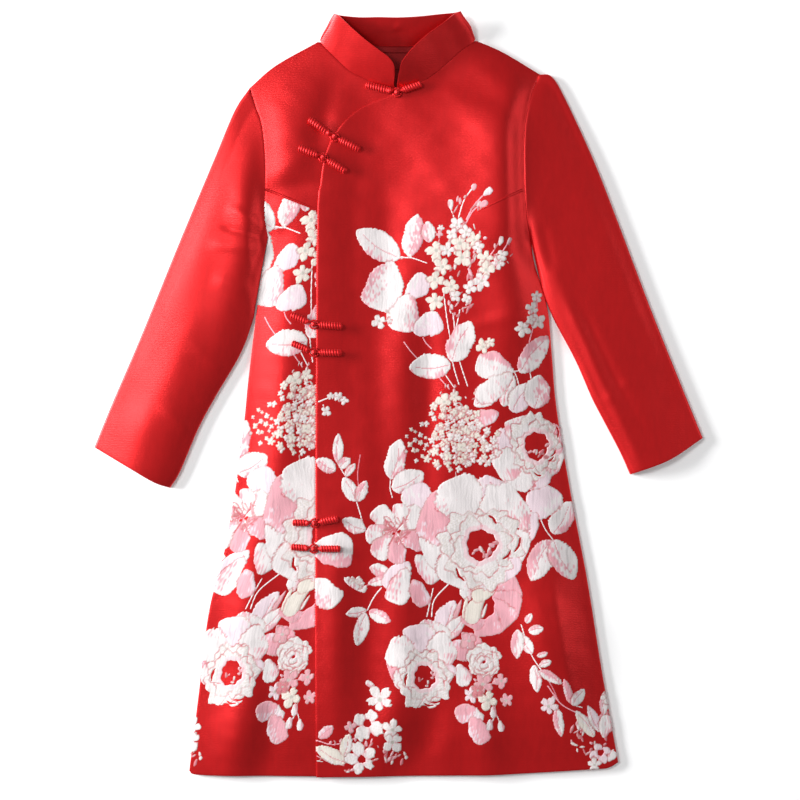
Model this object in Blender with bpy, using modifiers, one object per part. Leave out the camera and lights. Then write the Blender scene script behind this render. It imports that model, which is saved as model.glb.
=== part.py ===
"""A long cheongsam cut as a coat-dress, lying flat on its back.

The dress has a back panel, two fronts that close with a curved opening edge, two set-in
sleeves, a stand collar, a back neck facing and seven frog fastenings of a loop and a knot.
+Z is up from the surface it lies on, +Y runs from hem to collar, and left and right are as
seen from above. Cloth pieces stop SEAM_GAP short of each other along their seams.
"""
import math

import bmesh
import bpy
import numpy as np

MM = 0.001                  # tables are in millimetres, the model in metres

# ---- cloth ----
WALL = 2.0                  # satin, lining and interlining together
SEAM_GAP = 0.3
HALF_GAP = SEAM_GAP / 2
ARMHOLE_HALF_GAP = 0.4      # body and sleeve each stop this short of the armhole line
LAYER = WALL + SEAM_GAP     # what one more layer of cloth adds in height
LAP = WALL + 0.7            # and the over front, which lies loosely on the under front

# ---- heights of the fronts over the back ----
FRONT_PUFF = 0.9            # air under the fronts, away from the closed edges
PUFF_REACH = 16.0           # how fast it builds up from a side or shoulder seam
NECK_LIFT = 1.4             # the collar holds the fronts up round the neck
NECK_REACH = 45.0
OVERLAP_MARGIN = 10.0       # the over front keeps its height this far past the under front,
OVERLAP_RAMP = 26.0         # and comes down over this distance

# ---- sleeves ----
SLEEVE_HEIGHT_HEAD = 5.2    # total height of the flattened tube at the armhole
SLEEVE_HEIGHT = 6.6         # and from the elbow to the cuff
SLEEVE_BULGE = 1.0          # the upper layer stands this much higher along its middle

# ---- collar and facing ----
COLLAR_WALL = 2.0
COLLAR_BOW = 1.2            # the band bows out between its seam and its top edge
FACING_WALL = 1.0
FACING_DEPTH = 24.0
FACING_REACH = 78.0         # half its width, short of the shoulders

# ---- frogs ----
BAR_RADIUS = 2.7            # the wound bar of a frog
BAR_END_RADIUS = 1.6
CORD_RADIUS = 1.25          # the thin cord of loop and neck
KNOT_RADIUS = 3.7
RING_RADIUS = 5.4           # centre line of the loop round the knot
RING_MOUTH = math.radians(22)
FROG_GAP = 0.5

# ---- mesh density ----
BODY_ROWS = 30
BODY_ROWS_BELOW_UNDERARM = 23
UNDER_COLUMNS = 12
OVER_COLUMNS = 16
SLEEVE_ROWS = 17
SLEEVE_ACROSS = 7
FOLD_STEPS = 4
COLLAR_SPAN_STEPS = 3
COLLAR_ROWS = 3
NECK_SPANS = 10
HEM_SPANS = 12
SHOULDER_SPANS = 5

# Seam lines, x and y in mm. Side seams and armholes run up, shoulders run in to the neck.
SIDE_LEFT = [(-268, -482), (-253, -360), (-242, -274), (-218, -178), (-200, -54), (-192, 22),
             (-180, 118), (-171, 172), (-167, 199)]
SIDE_RIGHT = [(281, -471), (260, -354), (241, -236), (220, -126), (202, -18), (196, 50),
              (190, 112), (174, 166), (170, 192)]
ARMHOLE_LEFT = [(-167, 199), (-171, 234), (-170, 290), (-174, 340), (-182, 366), (-191, 391)]
ARMHOLE_RIGHT = [(170, 192), (163, 226), (160, 286), (161, 341), (169, 381), (180, 409)]
SHOULDER_LEFT = [(-191, 391), (-157, 420), (-102, 451)]
SHOULDER_RIGHT = [(180, 409), (133, 437), (99, 452)]
NECK_LEFT = [(-102, 451), (-82, 431), (-62, 413), (-44, 404), (-24, 395), (-5, 391)]
NECK_RIGHT = [(-3, 391), (14, 393), (38, 404), (61, 422), (80, 439), (99, 452)]
NECK_BACK = [(-102, 451), (-69, 445), (-34, 441), (0, 440), (32, 441), (64, 446), (99, 452)]
HEM_LEFT = [(-268, -482), (-256, -487), (-180, -488), (-60, -489)]
HEM_RIGHT = [(-105, -489.5), (30, -488), (130, -486.5), (245, -480), (268, -478), (281, -471)]
HEM_BACK = [(-268, -482), (-256, -486), (0, -486), (245, -478), (281, -471)]
OPENING_EDGE = [(-105, -489.5), (-106, -364), (-106, -238), (-104, 197), (-99, 272), (-93, 306),
                (-82, 331), (-62, 355), (-38, 371), (-9, 382), (-3, 391)]
UNDER_EDGE = [(-60, -489), (-60, -200), (-60, 120), (-57, 222), (-43, 286), (-18, 338),
              (0, 376), (-5, 391)]

# Sleeves: edges run down from the armhole, the cuff from its inner to its outer corner.
SLEEVE_LEFT_INNER = [(-167, 199), (-172.5, 172), (-182, 118), (-187, 92), (-203, 50), (-234, -3),
                     (-256, -44), (-279, -98), (-292, -120)]
SLEEVE_LEFT_OUTER = [(-193, 391.5), (-210, 362), (-236, 300), (-282, 190), (-328, 77), (-367, -14),
                     (-389, -68)]
SLEEVE_LEFT_CUFF = [(-292, -120), (-312, -113), (-346, -93), (-389, -68)]
SLEEVE_RIGHT_INNER = [(170, 192), (176, 166), (187, 135), (199, 102), (230, 36), (263, -30),
                      (283, -72), (296, -103)]
SLEEVE_RIGHT_OUTER = [(182, 409.5), (196, 406), (214, 376), (249, 300), (279, 224), (324, 105),
                      (371, -12), (389, -56)]
SLEEVE_RIGHT_CUFF = [(296, -103), (346, -84), (389, -56)]

# Soft folds of the fronts: the line they run along, their half width and height, in mm.
# x0, y0, x1, y1, half width, height
FRONT_FOLDS = [
    (197, -250, 224, -366, 16, 1.4),
    (60, -300, 66, -470, 18, 1.1),
    (150, 100, 95, 88, 9, 0.8),
    (-166, 190, -150, 232, 9, 1.2),
    (-190, -330, -180, -470, 16, 1.0),
    (20, 330, 70, 250, 20, 0.9),
    (-45, 60, -40, -120, 16, 0.9),
]

# Collar stations from the centre front round the left side, the back and the right side.
# seam x, y, z, then top edge x, y, z
COLLAR_STATIONS = [
    (-5.0, 391.5, 8.0, -5.0, 406.0, 19.0),
    (-13.0, 392.8, 8.0, -6.0, 417.0, 25.0),
    (-26.0, 396.4, 8.0, -13.0, 426.5, 28.0),
    (-44.0, 404.8, 8.0, -26.0, 436.0, 29.0),
    (-62.0, 414.0, 7.8, -43.0, 449.0, 29.0),
    (-79.5, 430.0, 7.6, -60.0, 467.0, 28.5),
    (-96.5, 447.5, 7.4, -76.0, 482.0, 27.5),
    (-99.5, 455.0, 4.0, -82.0, 485.5, 22.5),
    (-93.0, 454.0, 0.7, -73.0, 484.5, 17.5),
    (-67.0, 447.5, 0.5, -50.0, 482.5, 16.5),
    (-34.0, 443.5, 0.5, -25.0, 482.5, 17.5),
    (0.0, 442.5, 0.5, 0.0, 482.0, 18.0),
    (32.0, 443.5, 0.5, 27.0, 483.5, 17.5),
    (64.0, 448.5, 0.5, 52.0, 486.5, 16.0),
    (90.0, 454.5, 0.7, 70.0, 488.4, 15.0),
    (97.5, 456.0, 4.0, 79.0, 489.4, 20.0),
    (93.5, 449.0, 7.4, 71.0, 483.5, 25.0),
    (78.5, 439.2, 8.0, 56.0, 471.5, 25.0),
    (60.0, 422.8, 8.6, 38.0, 457.0, 26.5),
    (38.0, 405.4, 9.4, 22.0, 442.5, 28.0),
    (22.0, 397.4, 9.8, 11.0, 430.0, 28.0),
    (9.0, 393.3, 10.2, 3.5, 419.0, 26.0),
    (-2.0, 392.0, 10.4, 0.0, 406.0, 20.5),
]

# Frogs from the neck down: outer end of the loop half, knot, outer end of the knot half, in mm.
# loop x, y, knot x, y, end x, y
FROGS = [
    (-42, 394.5, -2, 384.5, 29, 395),
    (-114, 350, -81.5, 327.5, -50, 312),
    (-127, 314, -96, 301, -67, 284),
    (-137, 101, -108, 88.5, -72, 86),
    (-136, 65, -107.5, 53, -73, 52),
    (-135, -164, -107, -164.5, -77, -159),
    (-137, -195, -108, -197, -74, -197),
]

# ---- colours: linear red, green, blue ----
SATIN_RED = (0.56, 0.022, 0.026)
JACQUARD_RED = (0.50, 0.022, 0.026)
LINING_RED = (0.24, 0.008, 0.010)
FROG_RED = (0.52, 0.010, 0.014)


# ---------------------------------------------------------------- lines and patches

def smooth_points(knots, steps):
    """Points of a Catmull-Rom curve through the knots, `steps` to each span."""
    p = np.asarray(knots, float)
    ends = np.vstack([2 * p[0] - p[1], p, 2 * p[-1] - p[-2]])
    t = np.linspace(0, 1, steps, endpoint=False)[:, None]
    spans = []
    for a, b, c, d in zip(ends, ends[1:], ends[2:], ends[3:]):
        spans.append(0.5 * (2 * b + (c - a) * t + (2 * a - 5 * b + 4 * c - d) * t ** 2
                            + (3 * b - a - 3 * c + d) * t ** 3))
    return np.vstack(spans + [p[-1:]])


class Line:
    """A smooth line through knots, read by the share of its length."""

    def __init__(self, knots, shift=(0.0, 0.0)):
        self.points = smooth_points(knots, 12) + np.asarray(shift, float)
        steps = np.linalg.norm(np.diff(self.points, axis=0), axis=1)
        self.length = float(steps.sum())
        self.share = np.concatenate([[0], np.cumsum(steps)]) / self.length

    def at(self, share):
        return np.array([np.interp(share, self.share, self.points[:, 0]),
                         np.interp(share, self.share, self.points[:, 1])])

    def distance(self, x, y):
        return float(np.hypot(self.points[:, 0] - x, self.points[:, 1] - y).min())


class Joined:
    """Two lines end to end; the first one takes `part` of the whole."""

    def __init__(self, first, second, part=0.5):
        self.first, self.second, self.part = first, second, part

    def at(self, share):
        if share <= self.part:
            return self.first.at(share / self.part)
        return self.second.at((share - self.part) / (1 - self.part))


def patch_point(sides, u, v):
    """Point of the four-sided patch between sides left, right (up) and bottom, top (across)."""
    left, right, bottom, top = sides
    corners = ((1 - u) * (1 - v) * bottom.at(0) + u * (1 - v) * bottom.at(1)
               + (1 - u) * v * top.at(0) + u * v * top.at(1))
    across = (1 - u) * left.at(v) + u * right.at(v)
    along = (1 - v) * bottom.at(u) + v * top.at(u)
    return across + along - corners


def smoothstep(value):
    value = min(max(value, 0.0), 1.0)
    return value * value * (3 - 2 * value)


# ---------------------------------------------------------------- heights of the fronts

CLOSED_EDGES = [Line(k) for k in (SIDE_LEFT, SIDE_RIGHT, SHOULDER_LEFT, SHOULDER_RIGHT)]
NECK_EDGES = [Line(NECK_LEFT), Line(NECK_RIGHT)]
UNDER_EDGE_POINTS = smooth_points(UNDER_EDGE[:-1], 12)
OPENING_LINE = Line(OPENING_EDGE)
OPENING_POINTS = OPENING_LINE.points


def fold_height(x, y):
    """What the soft folds add at a point."""
    total = 0.0
    for x0, y0, x1, y1, half_width, height in FRONT_FOLDS:
        run = np.array([x1 - x0, y1 - y0], float)
        along = float(np.dot([x - x0, y - y0], run) / np.dot(run, run))
        reach = abs(run[0] * (y - y0) - run[1] * (x - x0)) / np.linalg.norm(run)
        inside = smoothstep((along + 0.2) / 0.4) * smoothstep((1.2 - along) / 0.4)
        total += height * inside * math.exp(-(reach / half_width) ** 2)
    return total


def front_top(x, y):
    """Height of the outer face of a front that lies straight on the back."""
    closed = min(edge.distance(x, y) for edge in CLOSED_EDGES)
    neck = min(edge.distance(x, y) for edge in NECK_EDGES)
    inland = 1 - math.exp(-closed / PUFF_REACH)
    lift = NECK_LIFT * math.exp(-(neck / NECK_REACH) ** 2)
    return WALL + LAYER + inland * (FRONT_PUFF + lift + fold_height(x, y))


def over_top(x, y):
    """Height of the over front's outer face, one layer up where the under front is below it."""
    past = x - np.interp(y, UNDER_EDGE_POINTS[:, 1], UNDER_EDGE_POINTS[:, 0]) - OVERLAP_MARGIN
    return front_top(x, y) + LAP * (1 - smoothstep(past / OVERLAP_RAMP))


def outer_face(x, y, radius):
    """Height of the highest cloth that shows under a cord of this radius."""
    highest = 0.0
    for dx, dy in ((0, 0), (radius, 0), (-radius, 0), (0, radius), (0, -radius)):
        edge = np.interp(y + dy, OPENING_POINTS[:, 1], OPENING_POINTS[:, 0])
        on_over = x + dx > edge or OPENING_LINE.distance(x, y) < radius + 1
        height = over_top if on_over else front_top
        highest = max(highest, height(x + dx, y + dy))
    return highest


# ---------------------------------------------------------------- Blender helpers

def clear_scene():
    for obj in list(bpy.data.objects):
        bpy.data.objects.remove(obj, do_unlink=True)


def new_collection(name):
    collection = bpy.data.collections.new(name)
    bpy.context.scene.collection.children.link(collection)
    return collection


def satin(name, colour, roughness):
    material = bpy.data.materials.new(name)
    material.use_nodes = True
    shader = material.node_tree.nodes["Principled BSDF"]
    shader.inputs["Base Color"].default_value = (*colour, 1)
    shader.inputs["Roughness"].default_value = roughness
    shader.inputs["Metallic"].default_value = 0
    return material


def add_object(name, data, material, parent):
    obj = bpy.data.objects.new(name, data)
    data.materials.append(material)
    parent.users_collection[0].objects.link(obj)
    obj.parent = parent
    return obj


def grid_cloth(name, columns, rows, place, wall, material, parent, closed=False):
    """A grid placed by `place(column, row)`, walled inwards; `closed` joins its two sides."""
    bm = bmesh.new()
    bmesh.ops.create_grid(bm, x_segments=columns, y_segments=rows, size=1)
    for vert in bm.verts:
        column = round((vert.co.x + 1) / 2 * columns)
        row = round((vert.co.y + 1) / 2 * rows)
        vert.co = [MM * value for value in place(column, row)]
    if closed:
        bmesh.ops.remove_doubles(bm, verts=bm.verts, dist=1e-6)
    highest = max(bm.faces, key=lambda face: face.calc_center_median().z)
    highest.normal_update()
    if highest.normal.z < 0:
        bmesh.ops.reverse_faces(bm, faces=bm.faces)
    mesh = bpy.data.meshes.new(name)
    bm.to_mesh(mesh)
    bm.free()
    mesh.shade_smooth()
    obj = add_object(name, mesh, material, parent)
    solidify = obj.modifiers.new("wall", "SOLIDIFY")
    solidify.thickness = wall * MM
    solidify.offset = -1
    return obj


def flat_plate(name, outline, low, wall, material, parent):
    """A flat filled outline from height `low`, `wall` thick."""
    curve = bpy.data.curves.new(name, "CURVE")
    curve.dimensions = "2D"
    curve.fill_mode = "BOTH"
    curve.extrude = wall / 2 * MM
    spline = curve.splines.new("POLY")
    spline.points.add(len(outline) - 1)
    for point, (x, y) in zip(spline.points, outline):
        point.co = (x * MM, y * MM, 0, 1)
    spline.use_cyclic_u = True
    obj = add_object(name, curve, material, parent)
    obj.location.z = (low + wall / 2) * MM
    return obj


def cord(name, route, material, parent):
    """A round cord through rows of x, y, z and radius."""
    curve = bpy.data.curves.new(name, "CURVE")
    curve.dimensions = "3D"
    curve.fill_mode = "FULL"
    curve.bevel_depth = MM
    curve.bevel_resolution = 1
    curve.use_fill_caps = True
    spline = curve.splines.new("POLY")
    spline.points.add(len(route) - 1)
    for point, (x, y, z, radius) in zip(spline.points, route):
        point.co = (x * MM, y * MM, z * MM, 1)
        point.radius = radius
    return add_object(name, curve, material, parent)


# ---------------------------------------------------------------- body

def side_line(side, armhole, shift):
    """Side seam and armhole as one line, its rows split at the underarm."""
    part = BODY_ROWS_BELOW_UNDERARM / BODY_ROWS
    armhole_shift = math.copysign(ARMHOLE_HALF_GAP, shift)
    return Joined(Line(side, (shift, 0)), Line(armhole, (armhole_shift, 0)), part)


def build_fronts(material, parent):
    down = (0, -HALF_GAP)
    under = (side_line(SIDE_LEFT, ARMHOLE_LEFT, HALF_GAP), Line(UNDER_EDGE, down),
             Line(HEM_LEFT, (HALF_GAP, 0)),
             Joined(Line(SHOULDER_LEFT, down), Line(NECK_LEFT, down)))
    over = (Line(OPENING_EDGE, down), side_line(SIDE_RIGHT, ARMHOLE_RIGHT, -HALF_GAP),
            Line(HEM_RIGHT, (-HALF_GAP, 0)),
            Joined(Line(NECK_RIGHT, down), Line(SHOULDER_RIGHT[::-1], down)))

    def place(sides, columns, height):
        def at(column, row):
            x, y = patch_point(sides, column / columns, row / BODY_ROWS)
            return x, y, height(x, y)
        return at

    grid_cloth("front_under", UNDER_COLUMNS, BODY_ROWS, place(under, UNDER_COLUMNS, front_top),
               WALL, material, parent)
    grid_cloth("front_over", OVER_COLUMNS, BODY_ROWS, place(over, OVER_COLUMNS, over_top),
               WALL, material, parent)


def spans(knots, count, shift=(0, 0)):
    """The starts of `count` equal spans of a line."""
    line = Line(knots, shift)
    return [tuple(line.at(index / count)) for index in range(count)]


def build_back(material, parent):
    armhole_spans = BODY_ROWS - BODY_ROWS_BELOW_UNDERARM
    down = (0, -HALF_GAP)
    outline = (spans(HEM_BACK, HEM_SPANS)
               + spans(SIDE_RIGHT, BODY_ROWS_BELOW_UNDERARM, (-HALF_GAP, 0))
               + spans(ARMHOLE_RIGHT, armhole_spans, (-ARMHOLE_HALF_GAP, 0))
               + spans(SHOULDER_RIGHT, SHOULDER_SPANS, down)
               + spans(NECK_BACK[::-1], NECK_SPANS, down)
               + spans(SHOULDER_LEFT[::-1], SHOULDER_SPANS, down)
               + spans(ARMHOLE_LEFT[::-1], armhole_spans, (ARMHOLE_HALF_GAP, 0))
               + spans(SIDE_LEFT[::-1], BODY_ROWS_BELOW_UNDERARM, (HALF_GAP, 0)))
    flat_plate("back_panel", outline, 0, WALL, material, parent)


def build_facing(material, parent):
    """A strip inside the back of the neck, narrowing towards the shoulders."""
    edge = spans(NECK_BACK, 2 * NECK_SPANS, (0, -2 * SEAM_GAP))
    edge = [(x, y) for x, y in edge if abs(x) < FACING_REACH]
    inner = [(x, y - FACING_DEPTH * (1 - 0.75 * (x / FACING_REACH) ** 4)) for x, y in edge[::-1]]
    flat_plate("back_neck_facing", edge + inner, WALL + SEAM_GAP, FACING_WALL, material, parent)


# ---------------------------------------------------------------- sleeves

def tube_ring():
    """Ring of a flattened tube: share across, fold side, and angle round that fold."""
    ring = [(index / SLEEVE_ACROSS, 0, math.pi / 2) for index in range(SLEEVE_ACROSS + 1)]
    for step in range(1, FOLD_STEPS):
        ring.append((1, 1, math.pi / 2 - math.pi * step / FOLD_STEPS))
    ring += [(1 - index / SLEEVE_ACROSS, 0, -math.pi / 2) for index in range(SLEEVE_ACROSS + 1)]
    for step in range(1, FOLD_STEPS):
        ring.append((0, -1, -math.pi / 2 + math.pi * step / FOLD_STEPS))
    return ring


def build_sleeve(name, inner, outer, armhole, cuff, outwards, material, parent):
    """A flattened tube with open ends; `outwards` is the x direction away from the body."""
    shift = (outwards * ARMHOLE_HALF_GAP, 0)
    head = armhole[:-1] + outer[:1]
    sides = [Line(knots, shift) for knots in (inner, outer, head, cuff)]
    ring = tube_ring()

    def place(column, row):
        across, fold, angle = ring[column % len(ring)]
        down = row / SLEEVE_ROWS
        height = SLEEVE_HEIGHT_HEAD + (SLEEVE_HEIGHT - SLEEVE_HEIGHT_HEAD) * smoothstep(down * 3)
        radius = height / 2
        width = float(np.linalg.norm(sides[0].at(down) - sides[1].at(down)))
        inset = radius / width
        share = min(max(across, inset), 1 - inset) + fold * inset * math.cos(angle)
        x, y = patch_point(sides, share, down)
        bulge = SLEEVE_BULGE * math.sin(math.pi * across) if angle > 0 and fold == 0 else 0
        return x, y, radius + radius * math.sin(angle) + bulge

    grid_cloth(name, len(ring), SLEEVE_ROWS, place, WALL, material, parent, closed=True)


# ---------------------------------------------------------------- collar

def build_collar(material, parent):
    """One band lofted from its neck seam to its top edge through the stations."""
    loops = smooth_points(COLLAR_STATIONS, COLLAR_SPAN_STEPS)
    centre = loops[:, :2].mean(axis=0)

    def place(column, row):
        seam, top = loops[column, :3], loops[column, 3:]
        up = row / COLLAR_ROWS
        point = (1 - up) * seam + up * top
        away = np.array([point[0] - centre[0], 0, point[2] - loops[:, 5].mean() / 2])
        bow = COLLAR_BOW * math.sin(math.pi * up) / max(float(np.linalg.norm(away)), 1)
        return point + away * bow

    grid_cloth("collar_band", len(loops) - 1, COLLAR_ROWS, place, COLLAR_WALL, material, parent)


# ---------------------------------------------------------------- frogs

def towards(start, end, distance):
    """The point `distance` before `end` on the way from `start`."""
    start, end = np.asarray(start, float), np.asarray(end, float)
    step = (end - start) / np.linalg.norm(end - start)
    return end - step * distance


def laid_on_cloth(points):
    """Rows of x, y, z, radius for rows of x, y, radius and lift over the cloth.

    Each point clears the cloth under its neighbours too, so no stretch cuts an edge, and the
    thin cord lies level on the highest cloth that it meets.
    """
    faces = [outer_face(x, y, radius) for x, y, radius, _ in points]
    level = max(face for face, point in zip(faces, points) if point[2] == CORD_RADIUS)
    faces = [level if point[2] == CORD_RADIUS else face for face, point in zip(faces, points)]
    rows = []
    for index, (x, y, radius, lift) in enumerate(points):
        face = max(faces[max(index - 1, 0):index + 2])
        rows.append((x, y, face + FROG_GAP + radius + lift, radius))
    return rows


def loop_route(outer, knot):
    """The wound bar, then the thin cord once round the knot."""
    outer, knot = np.asarray(outer, float), np.asarray(knot, float)
    heading = (knot - outer) / np.linalg.norm(knot - outer)
    side = np.array([-heading[1], heading[0]])
    bar_end = towards(outer, knot, RING_RADIUS + 4.6)
    points = []
    for share, radius in ((0, BAR_END_RADIUS), (0.06, BAR_RADIUS), (0.5, BAR_RADIUS),
                          (0.86, BAR_RADIUS), (1, BAR_END_RADIUS)):
        points.append((*(outer + (bar_end - outer) * share), radius, 0))
    start, stop = math.pi - RING_MOUTH, -math.pi + RING_MOUTH
    steps = 12
    for step in range(steps + 1):
        angle = start + (stop - start) * step / steps
        spot = knot + RING_RADIUS * (math.cos(angle) * heading + math.sin(angle) * side)
        points.append((*spot, CORD_RADIUS, 0))
    return laid_on_cloth(points)


def knot_route(knot, outer):
    """The ball knot, its neck over the loop, then the wound bar."""
    knot, outer = np.asarray(knot, float), np.asarray(outer, float)
    heading = (outer - knot) / np.linalg.norm(outer - knot)
    length = float(np.linalg.norm(outer - knot))
    crossing = 2 * CORD_RADIUS + FROG_GAP
    points = []
    for angle in (-78, -50, -20, 12, 40, 62):
        radius = KNOT_RADIUS * math.cos(math.radians(angle))
        along = KNOT_RADIUS * math.sin(math.radians(angle))
        points.append((along, radius, KNOT_RADIUS - radius))
    points += [
        (RING_RADIUS - 0.6, CORD_RADIUS, crossing),
        (RING_RADIUS + 0.6, CORD_RADIUS, crossing),
        (RING_RADIUS + 3.6, BAR_END_RADIUS, 0.6),
        (RING_RADIUS + 6.0, BAR_RADIUS, 0),
        (length * 0.7, BAR_RADIUS, 0),
        (length * 0.95, BAR_RADIUS, 0),
        (length, BAR_END_RADIUS, 0),
    ]
    return laid_on_cloth([(*(knot + heading * along), radius, lift)
                          for along, radius, lift in points])


def build_frogs(material, parent):
    for number, (loop_x, loop_y, knot_x, knot_y, end_x, end_y) in enumerate(FROGS, start=1):
        loop = loop_route((loop_x, loop_y), (knot_x, knot_y))
        knot = knot_route((knot_x, knot_y), (end_x, end_y))
        cord(f"frog_{number}_loop", loop, material, parent)
        cord(f"frog_{number}_knot", knot, material, parent)


# ---------------------------------------------------------------- the dress

def main():
    clear_scene()
    collection = new_collection("cheongsam_dress")
    dress = bpy.data.objects.new("dress", None)
    collection.objects.link(dress)
    plain = satin("plain_satin", SATIN_RED, 0.42)
    jacquard = satin("floral_jacquard", JACQUARD_RED, 0.45)
    lining = satin("lining", LINING_RED, 0.35)
    frog_cord = satin("frog_cord", FROG_RED, 0.5)

    build_back(jacquard, dress)
    build_fronts(jacquard, dress)
    build_sleeve("sleeve_left", SLEEVE_LEFT_INNER, SLEEVE_LEFT_OUTER, ARMHOLE_LEFT,
                 SLEEVE_LEFT_CUFF, -1, plain, dress)
    build_sleeve("sleeve_right", SLEEVE_RIGHT_INNER, SLEEVE_RIGHT_OUTER, ARMHOLE_RIGHT,
                 SLEEVE_RIGHT_CUFF, 1, plain, dress)
    build_collar(plain, dress)
    build_facing(lining, dress)
    build_frogs(frog_cord, dress)


main()
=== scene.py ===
"""Looks of a long cheongsam that lies flat: satin shells, woven flowers and wound frogs.

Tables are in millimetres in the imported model's frame: +X to the right seen from above,
+Y from the hem to the collar, +Z up from the surface. The cloth pieces are thin shells on
their solids' forms. The woven flowers are drawn by functions on fine canvases of cloth
cells, which become raised meshes, and each frog is a cord wound with thread.
"""
import math

import bpy
import numpy as np
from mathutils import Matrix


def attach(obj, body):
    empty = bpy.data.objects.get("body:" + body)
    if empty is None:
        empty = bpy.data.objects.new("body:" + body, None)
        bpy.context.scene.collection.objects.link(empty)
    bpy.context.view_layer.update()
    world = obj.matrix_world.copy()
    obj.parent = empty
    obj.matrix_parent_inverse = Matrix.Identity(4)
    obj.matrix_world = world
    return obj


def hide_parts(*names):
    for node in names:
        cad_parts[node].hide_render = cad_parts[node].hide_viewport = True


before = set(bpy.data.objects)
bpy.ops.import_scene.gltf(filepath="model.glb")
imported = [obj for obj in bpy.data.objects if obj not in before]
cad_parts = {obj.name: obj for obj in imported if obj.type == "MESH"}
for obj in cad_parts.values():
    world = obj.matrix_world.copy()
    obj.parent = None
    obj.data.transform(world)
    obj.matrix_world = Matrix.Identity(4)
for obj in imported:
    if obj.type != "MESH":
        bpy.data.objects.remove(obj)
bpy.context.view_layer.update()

MM = 0.001
AT_ONCE = 8000              # points whose distances are taken in one go

# ---- cloth ----
WALL = 2.0                  # the solids' wall
SHELL = 1.7                 # the wall of the shells that stand for them
SEAM_GAP = 0.3              # between panels that a seam joins
ARMHOLE_GAP = 0.04          # the armhole seams show closed
LAYER = WALL + SEAM_GAP     # from the table to a front's inner face
LAP = WALL + 0.7            # how much higher the over front lies where it laps the under one
EDGE_ROLL = 0.45            # how far a folded edge turns down
EDGE_ROLL_REACH = 0.9       # and over which width
BORDER_STEP = 1.5           # between the points of a panel's border
CLIP_STEP = 2               # and of the lines that bound flowers, facing and tape
EDGE_STEP = 3               # and of the seams that shape the fronts
LINE_STEPS = 16             # points to a span of a smooth line
SEAM_DIP = 0.9              # how far the fronts sink to the armhole seams
SEAM_DIP_REACH = 7.0

FRONT_FADE = 2              # keeps the bends of a front's side near to it
FRONT_PUFF = 1.9            # the loft of a front
PUFF_REACH = 15.0           # and how far from its closed edges it grows
LEFT_PULL, RIGHT_PULL = 0.35, 0.54   # the share of loft that the armhole seams hold down
PULL_REACH = 17.0           # and how far inland they do
INNER_PUFF = 4.2            # more loft well inside the edges
LEFT_REACH = 36.0           # how far in from the left, from the right, and from neck and hem
RIGHT_REACH = 26.0
END_REACH = 46.0
DEEPEST = 1.6               # the deepest hollow of a front
FLOOR_SHARPNESS = 2.0       # how hard hollows stop at it
NECK_LIFT = 1.3             # the fronts rise to the collar
NECK_REACH = 45.0
SEAMED_REACH = 16.0         # folds die out this near the neck seam
HEM_LEVEL = -489.0
OVERLAP_MARGIN = 2.0        # the over front comes down this far past the under front's edge
OVERLAP_RAMP = 60.0         # and over this width

SLEEVE_HEIGHT_HEAD = 5.2    # a flattened sleeve's two layers at its head
SLEEVE_HEIGHT = 6.6         # and below it
SLEEVE_LENGTH = 500.0
SLEEVE_END_REACH = 1.5      # how far from its ends a sleeve's edge turns down
SLEEVE_RING = (60, 8)       # steps across a layer, and round a fold
SLEEVE_ROWS = 150
HEAD_RISE_DEGREE = 4        # an even curve along the sleeve head
HEAD_RISE_SHARE = 0.42      # how far down a sleeve its head's rise fades
CLOSE_ROWS = (0, 0.35, 0.9, 1.8, 3.5)    # mm from an edge, to round it

# The panels' grids: columns, width, rows, length.
PANEL_GRIDS = {
    "front_under": (70, 200, 260, 900),
    "front_over": (110, 380, 260, 900),
    "back_panel": (60, 450, 120, 900),
}
# Small ripples of the cloth: height, seed for the random waves, size.
FRONT_RIPPLES = [(0.25, 11, 46), (0.12, 12, 21)]
SLEEVE_RIPPLE = (0.25, 31, 50)

# Seam lines, x and y. Side seams and armholes run up, shoulders run in to the neck.
SIDE_LEFT = [(-268, -482), (-253, -360), (-242, -274), (-218, -178), (-200, -54), (-192, 22),
             (-180, 118), (-171, 172), (-167, 199)]
SIDE_RIGHT = [(281, -471), (260, -354), (241, -236), (220, -126), (202, -18), (196, 50),
              (190, 112), (174, 166), (170, 192)]
ARMHOLE_LEFT = [(-167, 199), (-171, 234), (-170, 290), (-174, 340), (-182, 366), (-191, 391)]
ARMHOLE_RIGHT = [(170, 192), (163, 226), (160, 286), (161, 341), (169, 381), (180, 409)]
SHOULDER_LEFT = [(-191, 391), (-157, 420), (-102, 451)]
SHOULDER_RIGHT = [(180, 409), (133, 437), (99, 452)]
NECK_LEFT = [(-102, 451), (-82, 431), (-62, 413), (-44, 404), (-24, 395), (-5, 391)]
NECK_RIGHT = [(-3, 391), (14, 393), (38, 404), (61, 422), (80, 439), (99, 452)]
NECK_BACK = [(-102, 451), (-69, 445), (-34, 441), (0, 440), (32, 441), (64, 446), (99, 452)]
HEM_LEFT = [(-268, -482), (-256, -487), (-180, -488), (-60, -489)]
HEM_RIGHT = [(-105, -489.5), (30, -488), (130, -486.5), (245, -480), (268, -478), (281, -471)]
HEM_BACK = [(-268, -482), (-263, -484.5), (-254, -486), (-230, -486), (-120, -486), (0, -486),
            (120, -483), (200, -480), (245, -478), (266, -475), (281, -471)]
OPENING_EDGE = [(-105, -489.5), (-106, -364), (-106, -238), (-104, 197), (-99, 272), (-93, 306),
                (-82, 331), (-62, 355), (-38, 371), (-9, 382), (-3, 391)]
UNDER_EDGE = [(-60, -489), (-60, -200), (-60, 120), (-57, 222), (-43, 286), (-18, 338),
              (0, 376), (-5, 391)]
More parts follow.
